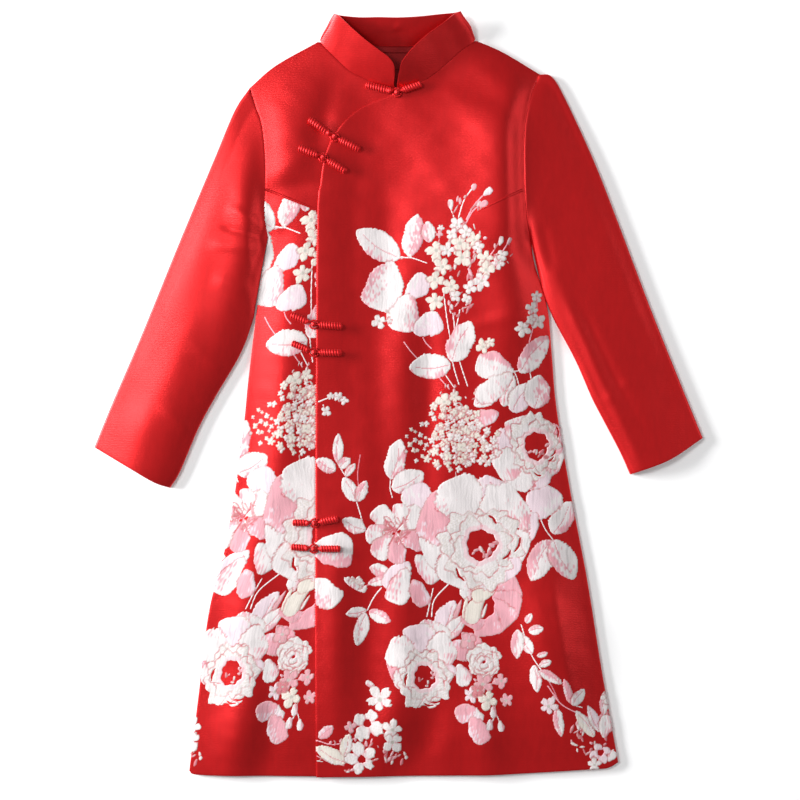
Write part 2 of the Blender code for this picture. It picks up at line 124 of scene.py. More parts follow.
SLEEVES = {
    "left": {
        "inner": [(-167, 199), (-172.5, 172), (-182, 118), (-187, 92), (-203, 50), (-234, -3),
                  (-256, -44), (-279, -98), (-292, -120)],
        "outer": [(-193, 391.5), (-210, 362), (-236, 300), (-282, 190), (-328, 77), (-367, -14),
                  (-389, -68)],
        "armhole": ARMHOLE_LEFT,
        "cuff": [(-292, -120), (-312, -113), (-346, -93), (-389, -68)],
        "outwards": -1,
        "front": "under",
        "bulge": 8.0,
        "crest": 0.42,
        "growth": 5.0,
    },
    "right": {
        "inner": [(170, 192), (175.2, 168), (180.7, 145), (188.0, 120), (199, 94), (226, 43),
                  (247, -5), (262, -34), (283, -74), (296, -103)],
        "outer": [(182, 409.5), (196, 406), (214, 376), (249, 300), (279, 224), (324, 105),
                  (371, -12), (389, -56)],
        "armhole": ARMHOLE_RIGHT,
        "cuff": [(296, -103), (346, -84), (389, -56)],
        "outwards": 1,
        "front": "over",
        "bulge": 6.0,
        "crest": 0.28,
        "growth": 2.0,
    },
}

# Soft folds and hollows of the fronts: a line, its half width and its height.
# x0, y0, x1, y1, half width, height
FRONT_FOLDS = [
    (197, -250, 222, -390, 8, 1.4),
    (60, -300, 66, -470, 18, 1.1),
    (150, 100, 95, 88, 9, 0.8),
    (-166, 190, -150, 232, 9, 1.2),
    (-190, -330, -180, -470, 16, 1.0),
    (20, 330, 70, 250, 20, 0.9),
    (-45, 60, -40, -120, 16, 0.9),
]
# Creases of the sleeves' upper layer, in the same columns.
SLEEVE_CREASES = [
    (-170, 214, -214, 236, 7, 1.4),
    (-176, 200, -222, 212, 5, -1.2),
    (-178, 186, -236, 190, 8, 1.2),
    (-184, 130, -232, 146, 10, 0.9),
    (-214, 20, -262, 60, 9, 0.7),
    (-250, -60, -300, -20, 9, 0.8),
    (-226, 262, -306, 60, 22, 1.6),
    (-262, 96, -332, -60, 20, 1.4),
    (184, 214, 196, 160, 7, -0.8),
    (192, 170, 232, 80, 10, 0.7),
    (214, 118, 262, 4, 8, 1.2),
    (240, 96, 284, 0, 7, -1.0),
    (226, 70, 280, -60, 7, -1.0),
    (262, 10, 306, -84, 7, 0.8),
    (276, 24, 318, -60, 7, -0.6),
    (262, -10, 300, 20, 7, 0.4),
    (236, 260, 320, 60, 26, 1.4),
]

# Collar stations from the centre front round the left side, the back and the right side.
# seam x, y, z, then top edge x, y, z
COLLAR_STATIONS = [
    (-5.2, 390.0, 7.5, -5.0, 406.0, 19.0),
    (-13.4, 391.4, 7.5, -6.0, 417.0, 25.0),
    (-26.8, 395.1, 7.5, -13.0, 426.5, 28.0),
    (-45.2, 403.9, 7.5, -26.0, 436.0, 29.0),
    (-63.4, 413.4, 7.3, -43.0, 449.0, 29.0),
    (-81.0, 429.8, 7.1, -60.0, 464.0, 28.5),
    (-98.0, 447.6, 6.9, -76.0, 479.0, 27.5),
    (-99.5, 455.0, 4.0, -82.0, 482.5, 22.5),
    (-93.0, 454.0, 0.7, -73.0, 481.5, 17.5),
    (-67.0, 447.5, 0.5, -50.0, 479.5, 16.5),
    (-34.0, 443.5, 0.5, -25.0, 479.5, 17.5),
    (0.0, 442.5, 0.5, 0.0, 479.0, 18.0),
    (32.0, 443.5, 0.5, 27.0, 480.5, 17.5),
    (64.0, 448.5, 0.5, 52.0, 483.5, 16.0),
    (90.0, 454.5, 0.7, 70.0, 485.4, 15.0),
    (97.5, 456.0, 4.0, 79.0, 486.4, 20.0),
    (95.0, 449.1, 6.9, 71.0, 482.0, 25.0),
    (80.0, 439.2, 7.5, 56.0, 470.0, 25.0),
    (61.4, 422.4, 8.1, 38.0, 457.0, 26.5),
    (39.1, 404.4, 8.9, 22.0, 442.5, 28.0),
    (22.7, 396.1, 9.3, 11.0, 430.0, 28.0),
    (9.3, 391.8, 9.7, 3.5, 419.0, 26.0),
    (-2.1, 390.5, 9.9, 0.0, 406.0, 20.5),
]
COLLAR_BOW = 1.2
COLLAR_FRONT_Z = 6.0        # seam points above this lie on the fronts
SEAM_RISE = 0.2
COLLAR_RUMPLE = 1.3         # how far the collar's back wanders in and out
COLLAR_STEPS = 12           # loops to a span between two stations
COLLAR_ROWS, COLLAR_HEIGHT = 18, 42
COLLAR_RIPPLE = (51, 24)    # seed, size
COLLAR_BEVEL = 0.6

# The back neck's facing and the tape over its seam.
FACING_REACH, FACING_DEPTH, FACING_WALL = 78.0, 24.0, 1.0
TAPE_REACH, TAPE_BELOW, TAPE_ABOVE = 91.0, 4.0, 4.6
TAPE_LEVEL, TAPE_CROWN, TAPE_WALL = 3.7, 0.5, 0.5

# Frogs: outer end of the loop half, knot, outer end of the knot half.
# loop x, y, knot x, y, end x, y
FROGS = [
    (-42, 394.5, -2, 384.5, 29, 395),
    (-114, 350, -81.5, 327.5, -50, 312),
    (-127, 314, -96, 301, -67, 284),
    (-137, 101, -108, 88.5, -72, 86),
    (-136, 65, -107.5, 53, -73, 52),
    (-135, -164, -107, -164.5, -77, -159),
    (-137, -195, -108, -197, -74, -197),
]
BAR_RADIUS = 3.0
BAR_END_RADIUS = 2.6
BAR_FLATNESS = 0.5          # a bar is this much wider than it is high
CORD_RADIUS = 1.25
KNOT_RADIUS = 3.7
RING_RADIUS = 5.4
RING_MOUTH = math.radians(22)
BAR_STOP = 3.4              # a loop's bar ends this far before its ring
FROG_GAP = 0.3
WINDING_PITCH = 3.4         # one turn of the wound thread
CORD_SIDES = 14
CORD_STEP = 0.36
CORD_CAP = 1.4              # length of a cord's rounded end
KNOT_GRID = (20, 28)
KNOT_HEIGHT = 0.92          # a knot's height for its width


# ---------------------------------------------------------------- lines and patches

def smooth_points(knots, steps):
    """Points of a Catmull-Rom curve through the knots, `steps` to each span."""
    p = np.asarray(knots, float)
    ends = np.vstack([2 * p[0] - p[1], p, 2 * p[-1] - p[-2]])
    t = np.linspace(0, 1, steps, endpoint=False)[:, None]
    spans = []
    for a, b, c, d in zip(ends, ends[1:], ends[2:], ends[3:]):
        spans.append(0.5 * (2 * b + (c - a) * t + (2 * a - 5 * b + 4 * c - d) * t ** 2
                            + (3 * b - a - 3 * c + d) * t ** 3))
    return np.vstack(spans + [p[-1:]])


class Line:
    """A smooth line through knots, read by shares of its length."""

    def __init__(self, knots, shift=(0.0, 0.0)):
        self.points = smooth_points(knots, LINE_STEPS) + np.asarray(shift, float)
        steps = np.linalg.norm(np.diff(self.points, axis=0), axis=1)
        self.length = float(steps.sum())
        self.share = np.concatenate([[0], np.cumsum(steps)]) / self.length

    def at(self, share):
        share = np.asarray(share, float)
        return np.stack([np.interp(share, self.share, self.points[:, axis])
                         for axis in range(self.points.shape[1])], axis=-1)

    def dense(self, spacing):
        return self.at(np.linspace(0, 1, int(self.length / spacing) + 2))


def dense_points(spacing, *knot_lists):
    """Points of several lines at about this spacing."""
    return np.vstack([Line(knots).dense(spacing) for knots in knot_lists])


class Joined:
    """Two lines end to end; the first one takes `part` of the whole."""

    def __init__(self, first, second, part):
        self.first, self.second, self.part = first, second, part

    def at(self, share):
        share = np.asarray(share, float)
        low = self.first.at(np.clip(share / self.part, 0, 1))
        high = self.second.at(np.clip((share - self.part) / (1 - self.part), 0, 1))
        return np.where((share <= self.part)[..., None], low, high)


def patch(sides, u, v, fade=1):
    """Points, rows by columns, of the patch between left, right, bottom and top lines. A higher
    `fade` keeps the bends of the left and right lines nearer to them."""
    left, right, bottom, top = sides
    uu, vv = u[None, :, None], v[:, None, None]
    start = left.at(v)[:, None] - (1 - vv) * bottom.at(0.0) - vv * top.at(0.0)
    end = right.at(v)[:, None] - (1 - vv) * bottom.at(1.0) - vv * top.at(1.0)
    ruled = (1 - vv) * bottom.at(u)[None] + vv * top.at(u)[None]
    return ruled + (1 - uu) ** fade * start + uu ** fade * end


def smoothstep(value):
    value = np.clip(value, 0, 1)
    return value * value * (3 - 2 * value)


def near(distance, reach):
    """1 at no distance, and hardly anything past twice the reach."""
    return np.exp(-(distance / reach) ** 2)


def cos_sin(turn):
    """Cosine and sine of a turn in degrees."""
    return math.cos(math.radians(turn)), math.sin(math.radians(turn))


def distance_to(points, x, y):
    """Distance from each x, y to the nearest of the points."""
    across, along = np.ravel(x).astype(np.float32), np.ravel(y).astype(np.float32)
    points = np.asarray(points, np.float32)
    nearest = np.empty(len(across), np.float32)
    for start in range(0, len(across), AT_ONCE):
        part = slice(start, start + AT_ONCE)
        gaps = ((across[part, None] - points[None, :, 0]) ** 2
                + (along[part, None] - points[None, :, 1]) ** 2)
        nearest[part] = np.sqrt(gaps.min(axis=1))
    return nearest.reshape(np.shape(x)).astype(float)


def ripple(x, y, seed, size):
    """Smooth noise between about -1 and 1 with features of about `size`."""
    rng = np.random.default_rng(seed)
    total = np.zeros(np.broadcast(x, y).shape)
    for _ in range(5):
        angle, phase = rng.uniform(0, 2 * math.pi, 2)
        wave = 2 * math.pi / (size * rng.uniform(0.8, 1.9))
        total += np.sin(wave * (x * math.cos(angle) + y * math.sin(angle)) + phase)
    return total / 3.2


# ---------------------------------------------------------------- heights of the cloth

CLOSED_EDGES = dense_points(EDGE_STEP, SIDE_LEFT, SIDE_RIGHT, SHOULDER_LEFT, SHOULDER_RIGHT)
ARMHOLE_POINTS = dense_points(EDGE_STEP, ARMHOLE_LEFT, ARMHOLE_RIGHT)
NECK_EDGES = dense_points(EDGE_STEP, NECK_LEFT, NECK_RIGHT)
UNDER_EDGE_POINTS = smooth_points(UNDER_EDGE[:-1], LINE_STEPS)
OPENING_POINTS = Line(OPENING_EDGE).points


def fold_heights(rows, x, y):
    """What soft folds add: full height along their line, fading at its ends."""
    total = np.zeros(np.shape(x))
    for x0, y0, x1, y1, half_width, height in rows:
        run = np.array([x1 - x0, y1 - y0], float)
        length = float(np.linalg.norm(run))
        along = ((x - x0) * run[0] + (y - y0) * run[1]) / length ** 2
        off = (run[0] * (y - y0) - run[1] * (x - x0)) / length
        inside = smoothstep((along + 0.2) / 0.4) * smoothstep((1.2 - along) / 0.4)
        total += height * inside * near(off, half_width)
    return total


# Broad swells and hollows of the lying cloth: centre, reach along and across, turn, height.
# x, y, along, across, turn in degrees, height
SWELLS = [
    (146, 258, 128, 78, 90, 13.6), (140, 350, 56, 64, 96, 5.0), (150, 160, 90, 36, 90, 3.0),
    (46, 345, 40, 30, 60, 1.2), (-132, 330, 70, 32, 84, 2.2), (-152, 60, 150, 28, 90, 3.2),
    (-36, 180, 200, 42, 90, -7.6), (-2, 0, 110, 26, 90, 2.8), (36, 10, 110, 18, 90, -3.4),
    (112, 385, 50, 22, -30, -2.4), (165, 90, 60, 30, 0, 1.8), (-98, 345, 45, 14, 75, -2.4),
    (-142, 292, 45, 14, 20, 1.6), (-138, 262, 45, 12, 10, -2.2), (-80, -300, 110, 20, 90, 3.8),
    (-40, -330, 100, 22, 90, -2.8), (4, -290, 100, 26, 90, 4.6), (-12, -425, 60, 22, 70, 4.0),
    (36, -440, 50, 20, 70, -3.0), (110, -440, 70, 26, 98, 4.2), (-206, -440, 60, 26, 84, 6.0),
    (-166, -430, 60, 20, 84, -2.0), (130, 10, 110, 26, 85, 2.6), (-190, -230, 120, 20, 83, 2.2),
    (-150, -60, 120, 20, 85, 1.4), (192, -310, 90, 34, 98, 9.0), (60, -120, 90, 30, 90, 2.4),
]


def swell_heights(x, y):
    total = np.zeros(np.shape(x))
    for cx, cy, along, across, turn, height in SWELLS:
        c, s = cos_sin(turn)
        a = ((x - cx) * c + (y - cy) * s) / along
        b = (-(x - cx) * s + (y - cy) * c) / across
        total += height * np.exp(-a * a - b * b)
    return total


def front_top(x, y):
    """Height of the outer face of a front that lies straight on the back."""
    to_edge, to_neck = distance_to(CLOSED_EDGES, x, y), distance_to(NECK_EDGES, x, y)
    inland = 1 - np.exp(-to_edge / PUFF_REACH)
    lift = NECK_LIFT * near(to_neck, NECK_REACH)
    side_reach = np.where(x < 0, LEFT_REACH, RIGHT_REACH)
    inner = ((1 - near(to_edge, side_reach)) * (1 - near(to_neck, END_REACH))
             * (1 - near(y - HEM_LEVEL, END_REACH)))
    seamed = 1 - near(to_neck, SEAMED_REACH)
    soft = INNER_PUFF * inner + seamed * (fold_heights(FRONT_FOLDS, x, y) + swell_heights(x, y))
    soft = np.logaddexp(FLOOR_SHARPNESS * (soft + DEEPEST), 0) / FLOOR_SHARPNESS - DEEPEST
    for height, seed, size in FRONT_RIPPLES:
        soft = soft + height * ripple(x, y, seed, size)
    pull = np.where(x < 0, LEFT_PULL, RIGHT_PULL)
    kept = 1 - pull * near(distance_to(ARMHOLE_POINTS, x, y), PULL_REACH)
    return WALL + LAYER + inland * kept * (FRONT_PUFF + lift + soft)


def over_top(x, y):
    """Height of the over front's outer face, one layer up where the under front is below it."""
    past = x - np.interp(y, UNDER_EDGE_POINTS[:, 1], UNDER_EDGE_POINTS[:, 0]) - OVERLAP_MARGIN
    return front_top(x, y) + LAP * (1 - smoothstep(past / OVERLAP_RAMP))


def outer_face(x, y, radius):
    """Height of the highest cloth that shows under a cord of this radius."""
    highest = 0.0
    for dx, dy in ((0, 0), (radius, 0), (-radius, 0), (0, radius), (0, -radius)):
        edge = np.interp(y + dy, OPENING_POINTS[:, 1], OPENING_POINTS[:, 0])
        to_edge = distance_to(OPENING_POINTS, np.array([x]), np.array([y]))[0]
        on_over = x + dx > edge or to_edge < radius + 1
        height = over_top if on_over else front_top
        highest = max(highest, float(height(np.array([x + dx]), np.array([y + dy]))[0]))
    return highest


# ---------------------------------------------------------------- materials

def set_inputs(shader_node, values):
    for socket, value in values.items():
        shader_node.inputs[socket].default_value = value


def principled(name, colour, roughness, specular, sheen=0.0, metallic=0.0):
    """A material with its constants on the shader's own sockets."""
    material = bpy.data.materials.new(name)
    material.use_nodes = True
    tree = material.node_tree
    shader = tree.nodes["Principled BSDF"]
    set_inputs(shader, {
        "Base Color": (*colour, 1),
        "Roughness": roughness,
        "Specular IOR Level": specular,
        "Sheen Weight": sheen,
        "Sheen Roughness": 0.45,
        "Sheen Tint": (1.0, 0.35, 0.35, 1),
        "Metallic": metallic,
    })
    return material, tree, shader


def node(tree, kind, inputs, **values):
    made = tree.nodes.new(kind)
    for key, value in values.items():
        setattr(made, key, value)
    set_inputs(made, inputs)
    return made


def stretched_noise(tree, scale, detail):
    """Noise over the object's coordinates, scaled apart along x, y and z."""
    coords = node(tree, "ShaderNodeTexCoord", {})
    mapping = node(tree, "ShaderNodeMapping", {"Scale": scale})
    noise = node(tree, "ShaderNodeTexNoise", {"Scale": 1.0, "Detail": detail, "Roughness": 0.55})
    tree.links.new(coords.outputs["Object"], mapping.inputs["Vector"])
    tree.links.new(mapping.outputs["Vector"], noise.inputs["Vector"])
    return noise.outputs["Fac"]


def blend_colours(tree, factor, low, high):
    ramp = node(tree, "ShaderNodeValToRGB", {})
    for stop, position, colour in zip(ramp.color_ramp.elements, (0.3, 0.7), (low, high)):
        stop.position = position
        stop.color = (*colour, 1)
    tree.links.new(factor, ramp.inputs["Fac"])
    return ramp.outputs["Color"]


def bump(tree, shader, height, strength, distance):
    made = node(tree, "ShaderNodeBump", {"Strength": strength, "Distance": distance})
    tree.links.new(height, made.inputs["Height"])
    tree.links.new(made.outputs["Normal"], shader.inputs["Normal"])


def crinkles(tree, pitch):
    """Fine crepe lines across the cloth that wander."""
    coords = node(tree, "ShaderNodeTexCoord", {})
    wave = node(tree, "ShaderNodeTexWave", {
        "Scale": math.pi / (10 * pitch),
        "Distortion": 6.0,
        "Detail": 2.5,
        "Detail Scale": 2.2,
    }, wave_type="BANDS", bands_direction="Y")
    tree.links.new(coords.outputs["Object"], wave.inputs["Vector"])
    return wave.outputs["Fac"]


def product(tree, first, second):
    made = node(tree, "ShaderNodeMath", {}, operation="MULTIPLY")
    tree.links.new(first, made.inputs[0])
    tree.links.new(second, made.inputs[1])
    return made.outputs["Value"]


def crepe_satin(name, dark, light, roughness, pitch, depth):
    """Satin with a fine crepe grain of this pitch and depth in metres."""
    material, tree, shader = principled(name, light, roughness, 0.65, 0.05, SATIN_METALLIC)
    tone = stretched_noise(tree, (160, 50, 160), 4.0)
    tree.links.new(blend_colours(tree, tone, dark, light), shader.inputs["Base Color"])
    patches = stretched_noise(tree, (24, 17, 24), 2.0)
    bump(tree, shader, product(tree, crinkles(tree, pitch), patches), 1.0, depth)
    return material


def woven_flowers(name):
    """Yarn floats coloured by the mesh, whose colours hold painted shade along edges and between ribs, with a
    fine upright crinkle.
    """
    material, tree, shader = principled(name, (0.8, 0.7, 0.7), 0.62, 0.3, 0.25)
    colours = node(tree, "ShaderNodeVertexColor", {}, layer_name="yarn_and_painted_shade")
    tree.links.new(colours.outputs["Color"], shader.inputs["Base Color"])
    bump(tree, shader, stretched_noise(tree, (1500, 520, 1500), 2.0), 0.6, 0.0004)
    return material


def wound_cord(name, colour):
    material, tree, shader = principled(name, colour, 0.42, 0.4, 0.2, 0.5)
    bump(tree, shader, stretched_noise(tree, (2600, 2600, 2600), 2.0), 0.4, 0.0002)
    return material


SATIN_METALLIC = 0.65
MATERIALS = {
    "satin": crepe_satin("plain_satin", (0.60, 0.007, 0.009), (0.66, 0.008, 0.010), 0.37,
                         0.0022, 0.00009),
    "jacquard": crepe_satin("jacquard_ground", (0.57, 0.006, 0.008), (0.63, 0.007, 0.009), 0.37,
                            0.0022, 0.00010),
    # The lining is the same red at about half the satin's brightness: painted shade inside the neck.
    "lining": crepe_satin("lining_satin_painted_shade", (0.30, 0.004, 0.006), (0.34, 0.005, 0.007), 0.34,
                          0.003, 0.0001),
    "flowers": woven_flowers("woven_flowers"),
    "frog": wound_cord("wound_frog_cord", (0.60, 0.007, 0.010)),
}


# ---------------------------------------------------------------- making pieces

def put_in_scene(name, data):
    obj = bpy.data.objects.new(name, data)
    bpy.context.scene.collection.objects.link(obj)
    return obj


def new_piece(name, points, faces, material, replaces=(), slot=None):
    """A mesh piece from points in millimetres, riding on the one body."""
    mesh = bpy.data.meshes.new(name)
    mesh.from_pydata((np.asarray(points) * MM).tolist(), [], faces)
    mesh.materials.append(MATERIALS[material])
    mesh.shade_smooth()
    mesh.update()
    obj = put_in_scene(name, mesh)
    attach(obj, "root")
    if replaces:
        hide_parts(*replaces)
    return obj


def grid_of(x, y, z):
    """Points, rows by columns, from x, y and z that may each stand for a whole row or grid."""
    return np.stack(np.broadcast_arrays(x, y, z), axis=-1)


def grid_faces(rows, columns, closed=False):
    """Quads of a grid of points, rows by columns; `closed` joins the last column to the first."""
    index = np.arange(rows * columns).reshape(rows, columns)
    if closed:
        index = np.hstack([index, index[:, :1]])
    quads = np.stack([index[:-1, :-1], index[:-1, 1:], index[1:, 1:], index[1:, :-1]], axis=-1)
    return quads.reshape(-1, 4).tolist()


def capped_faces(rows, columns, way):
    """Quads of a closed grid and a face over each end; `way`, 1 or -1, is how the first winds."""
    first = list(range(columns))
    last = [(rows - 1) * columns + index for index in first]
    return grid_faces(rows, columns, closed=True) + [first[::way], last[::-way]]


def face_up(obj):
    """Turns all faces over if the highest one looks down."""
    mesh = obj.data
    highest = max(mesh.polygons, key=lambda face: face.center.z)
    if highest.normal.z < 0:
        mesh.flip_normals()


def shell(name, grid, material, thickness, replaces=(), slot=None, closed=False):
    """A cloth of this thickness under a grid of points."""
    obj = new_piece(name, grid.reshape(-1, 3), grid_faces(*grid.shape[:2], closed), material,
                    replaces, slot)
    face_up(obj)
    solidify = obj.modifiers.new("wall", "SOLIDIFY")
    solidify.thickness = thickness * MM
    solidify.offset = -1
    solidify.use_rim = True
    return obj


def shares(count, length):
    """Even shares of a length, with a few close ones by its ends for a rounded edge."""
    close = [value / length for value in CLOSE_ROWS]
    middle = np.linspace(close[-1], 1 - close[-1], count)[1:-1].tolist()
    return np.array(close + middle + [1 - value for value in reversed(close)])


# ---------------------------------------------------------------- body

def side_line(side, armhole, towards):
    first = Line(side, (towards * SEAM_GAP / 2, 0))
    second = Line(armhole, (towards * ARMHOLE_GAP, 0))
    return Joined(first, second, first.length / (first.length + second.length))


def panel_plan(panel, sides, fade=1):
    """The grids of x and y of a panel between its four sides."""
    columns, width, rows, length = PANEL_GRIDS[panel]
    return np.moveaxis(patch(sides, shares(columns, width), shares(rows, length), fade), -1, 0)


def make_front(panel, sides, height, border):
    """A front as a fine shell whose edges turn down."""
    x, y = panel_plan(panel, sides, FRONT_FADE)
    z = height(x, y)
    z = z - EDGE_ROLL * near(distance_to(border, x, y), EDGE_ROLL_REACH)
    z = z - SEAM_DIP * np.exp(-distance_to(ARMHOLE_POINTS, x, y) / SEAM_DIP_REACH)
    return shell(f"{panel}_cloth", grid_of(x, y, z), "jacquard", SHELL, (panel,), "jacquard")


def make_fronts():
    down = (0, -SEAM_GAP / 2)
    shoulder, neck = Line(SHOULDER_LEFT, down), Line(NECK_LEFT, down)
    under = (side_line(SIDE_LEFT, ARMHOLE_LEFT, 1), Line(UNDER_EDGE, down),
             Line(HEM_LEFT, (SEAM_GAP / 2, 0)), Joined(shoulder, neck, 0.5))
    under_border = dense_points(BORDER_STEP, SIDE_LEFT, ARMHOLE_LEFT, SHOULDER_LEFT, NECK_LEFT,
                                HEM_LEFT)
    neck, shoulder = Line(NECK_RIGHT, down), Line(SHOULDER_RIGHT[::-1], down)
    over = (Line(OPENING_EDGE, down), side_line(SIDE_RIGHT, ARMHOLE_RIGHT, -1),
            Line(HEM_RIGHT, (-SEAM_GAP / 2, 0)), Joined(neck, shoulder, 0.5))
    over_border = dense_points(BORDER_STEP, OPENING_EDGE, SIDE_RIGHT, ARMHOLE_RIGHT,
                               SHOULDER_RIGHT, NECK_RIGHT, HEM_RIGHT)
    left = make_front("front_under", under, front_top, under_border)
    right = make_front("front_over", over, over_top, over_border)
    return left, right, under_border, over_border


def make_back():
    """The back panel lies flat; its inner face is lining, darkened as painted shade."""
    down = (0, -SEAM_GAP / 2)
    rest = Joined(Line(NECK_BACK, down), Line(SHOULDER_RIGHT[::-1], down), 0.66)
    sides = (side_line(SIDE_LEFT, ARMHOLE_LEFT, 1), side_line(SIDE_RIGHT, ARMHOLE_RIGHT, -1),
             Line(HEM_BACK), Joined(Line(SHOULDER_LEFT, down), rest, 0.25))
    x, y = panel_plan("back_panel", sides)
    obj = shell("back_cloth", grid_of(x, y, WALL), "lining", WALL, ("back_panel",), "jacquard")
    obj.data.materials.append(MATERIALS["jacquard"])
    obj.modifiers["wall"].material_offset = 1
    obj.modifiers["wall"].material_offset_rim = 1
    return obj


# ---------------------------------------------------------------- sleeves

def sleeve_ring(across_steps, fold_steps):
    """Rows of share across, fold side and angle, once round a flattened tube."""
    top = [(index / across_steps, 0, math.pi / 2) for index in range(across_steps + 1)]
    outer = [(1, 1, math.pi / 2 - math.pi * step / fold_steps) for step in range(1, fold_steps)]
    low = [(1 - index / across_steps, 0, -math.pi / 2) for index in range(across_steps + 1)]
    inner = [(0, -1, -math.pi / 2 + math.pi * step / fold_steps) for step in range(1, fold_steps)]
    return np.array(top + outer + low + inner)


def head_rise(table, seam, across):
    """How far the top of a sleeve's head stands up to meet the front beside it."""
    height = {"under": front_top, "over": over_top}[table["front"]]
    rise = height(seam[:, 0], seam[:, 1]) - SEAM_DIP - SLEEVE_HEIGHT_HEAD
    rise = np.polyval(np.polyfit(across, rise, HEAD_RISE_DEGREE), across)
    return np.maximum(rise, 0) * smoothstep(np.minimum(across, 1 - across) / 0.05)


def sleeve_section(table, lines, ring, rise, share):
    """Points once round a sleeve, at a share of its way from its head to its cuff."""
    grown = SLEEVE_HEIGHT_HEAD + (SLEEVE_HEIGHT - SLEEVE_HEIGHT_HEAD) * smoothstep(share * 3)
    radius = float(grown) / 2
    inset = radius / float(np.linalg.norm(lines[0].at(share) - lines[1].at(share)))
    across, fold, angle = ring.T
    place = inset + across * (1 - 2 * inset) + fold * inset * np.cos(angle)
    x, y = patch(lines, place, np.array([share]))[0].T
    lean = math.log(0.5) / math.log(table["crest"])
    bulge = table["bulge"] * np.sin(math.pi * across ** lean) * smoothstep(share * table["growth"])
    bulge = bulge + rise * (1 - smoothstep(share / HEAD_RISE_SHARE))
    height, seed, size = SLEEVE_RIPPLE
    soft = fold_heights(SLEEVE_CREASES, x, y) + height * ripple(x, y, seed, size)
    soft = soft * smoothstep(np.minimum(across, 1 - across) / 0.12) * smoothstep(share * 12)
    head, cuff = (near(away * SLEEVE_LENGTH, SLEEVE_END_REACH) for away in (share, 1 - share))
    raised = bulge + soft - EDGE_ROLL * (head + 0.6 * cuff)
    z = radius + radius * np.sin(angle) + np.where((angle > 0) & (fold == 0), raised, 0)
    return np.column_stack([x, y, z])


def make_sleeve(side):
    table = SLEEVES[side]
    shift = (table["outwards"] * ARMHOLE_GAP, 0)
    outer = table["armhole"][-1:] + table["outer"][1:]
    lines = [Line(knots, shift)
             for knots in (table["inner"], outer, table["armhole"], table["cuff"])]
    ring = sleeve_ring(*SLEEVE_RING)
    rise = head_rise(table, lines[2].at(ring[:, 0]), ring[:, 0])
    grid = np.stack([sleeve_section(table, lines, ring, rise, share)
                     for share in shares(SLEEVE_ROWS, SLEEVE_LENGTH)])
    name = f"sleeve_{side}"
    return shell(f"{name}_cloth", grid, "satin", SHELL, (name,), "satin", closed=True)


# ---------------------------------------------------------------- collar and facing

def make_collar():
    """One band lofted from its neck seam to its top edge through the stations."""
    loops = smooth_points(COLLAR_STATIONS, COLLAR_STEPS)
    seam_x, seam_y, seam_z = loops[:, 0], loops[:, 1], loops[:, 2]
    on_under = seam_x < OPENING_EDGE[-1][0]
    cloth = np.where(on_under, front_top(seam_x, seam_y), over_top(seam_x, seam_y))
    loops[:, 2] = np.where(seam_z > COLLAR_FRONT_Z, np.minimum(seam_z, cloth + SEAM_RISE), seam_z)
    centre = loops[:, :2].mean(axis=0)
    up = shares(COLLAR_ROWS, COLLAR_HEIGHT)
    seam, top = loops[:, None, :3], loops[:, None, 3:]
    rise = up[None, :, None]
    grid = (1 - rise) * seam + rise * top
    away = grid_of(grid[..., 0] - centre[0], 0.0, grid[..., 2] - loops[:, 5].mean() / 2)
    away = away / np.maximum(np.linalg.norm(away, axis=-1, keepdims=True), 1)
    low = smoothstep((9 - loops[:, 2]) / 5)[:, None]
    rumpled = COLLAR_RUMPLE * low * np.sin(math.pi * up)[None, :]
    rumpled = rumpled * ripple(grid[..., 0], grid[..., 1], *COLLAR_RIPPLE)
    grid = grid + away * (COLLAR_BOW * np.sin(math.pi * rise) + rumpled[..., None])
    obj = shell("collar_cloth", grid, "satin", SHELL, ("collar_band",), "satin")
    bevel = obj.modifiers.new("soft_edges", "BEVEL")
    bevel.width = COLLAR_BEVEL * MM
    bevel.segments = 2
    bevel.angle_limit = math.radians(50)
    return obj


# ---------------------------------------------------------------- frogs

def laid_on_cloth(points):
    """Rows of x, y, z, radius for rows of x, y, radius and lift over the cloth."""
    faces = [outer_face(x, y, radius) for x, y, radius, _ in points]
    level = max(face for face, point in zip(faces, points) if point[2] == CORD_RADIUS)
    faces = [level if point[2] == CORD_RADIUS else face for face, point in zip(faces, points)]
    rows = []
    for index, (x, y, radius, lift) in enumerate(points):
        face = max(faces[max(index - 1, 0):index + 2])
        rows.append((x, y, face + FROG_GAP + radius + lift, radius))
    return rows


def heading_from(start, end):
    start, end = np.asarray(start, float), np.asarray(end, float)
    length = float(np.linalg.norm(end - start))
    return start, end, (end - start) / length, length


def loop_route(outer, knot):
    outer, knot, heading, length = heading_from(outer, knot)
    side = np.array([-heading[1], heading[0]])
    bar = length - RING_RADIUS - BAR_STOP
    points = []
    for share, radius in ((0, BAR_END_RADIUS), (0.05, BAR_RADIUS), (0.5, BAR_RADIUS),
                          (0.9, BAR_RADIUS), (1, BAR_END_RADIUS)):
        points.append((*(outer + heading * bar * share), radius, 0))
    start, stop = math.pi - RING_MOUTH, -math.pi + RING_MOUTH
    for angle in np.linspace(start, stop, 13):
        spot = knot + RING_RADIUS * (math.cos(angle) * heading + math.sin(angle) * side)
        points.append((*spot, CORD_RADIUS, 0))
    return laid_on_cloth(points)


def knot_route(knot, outer):
    knot, outer, heading, length = heading_from(knot, outer)
    crossing = 2 * CORD_RADIUS + FROG_GAP
    points = [
        (RING_RADIUS - 2.6, CORD_RADIUS, crossing),
        (RING_RADIUS + 0.2, CORD_RADIUS, crossing),
        (RING_RADIUS + 2.6, BAR_END_RADIUS, 0.8),
        (RING_RADIUS + 4.6, BAR_RADIUS, 0),
        (length * 0.7, BAR_RADIUS, 0),
        (length * 0.96, BAR_RADIUS, 0),
        (length, BAR_END_RADIUS, 0),
    ]
    return laid_on_cloth([(*(knot + heading * along), radius, lift)
                          for along, radius, lift in points])


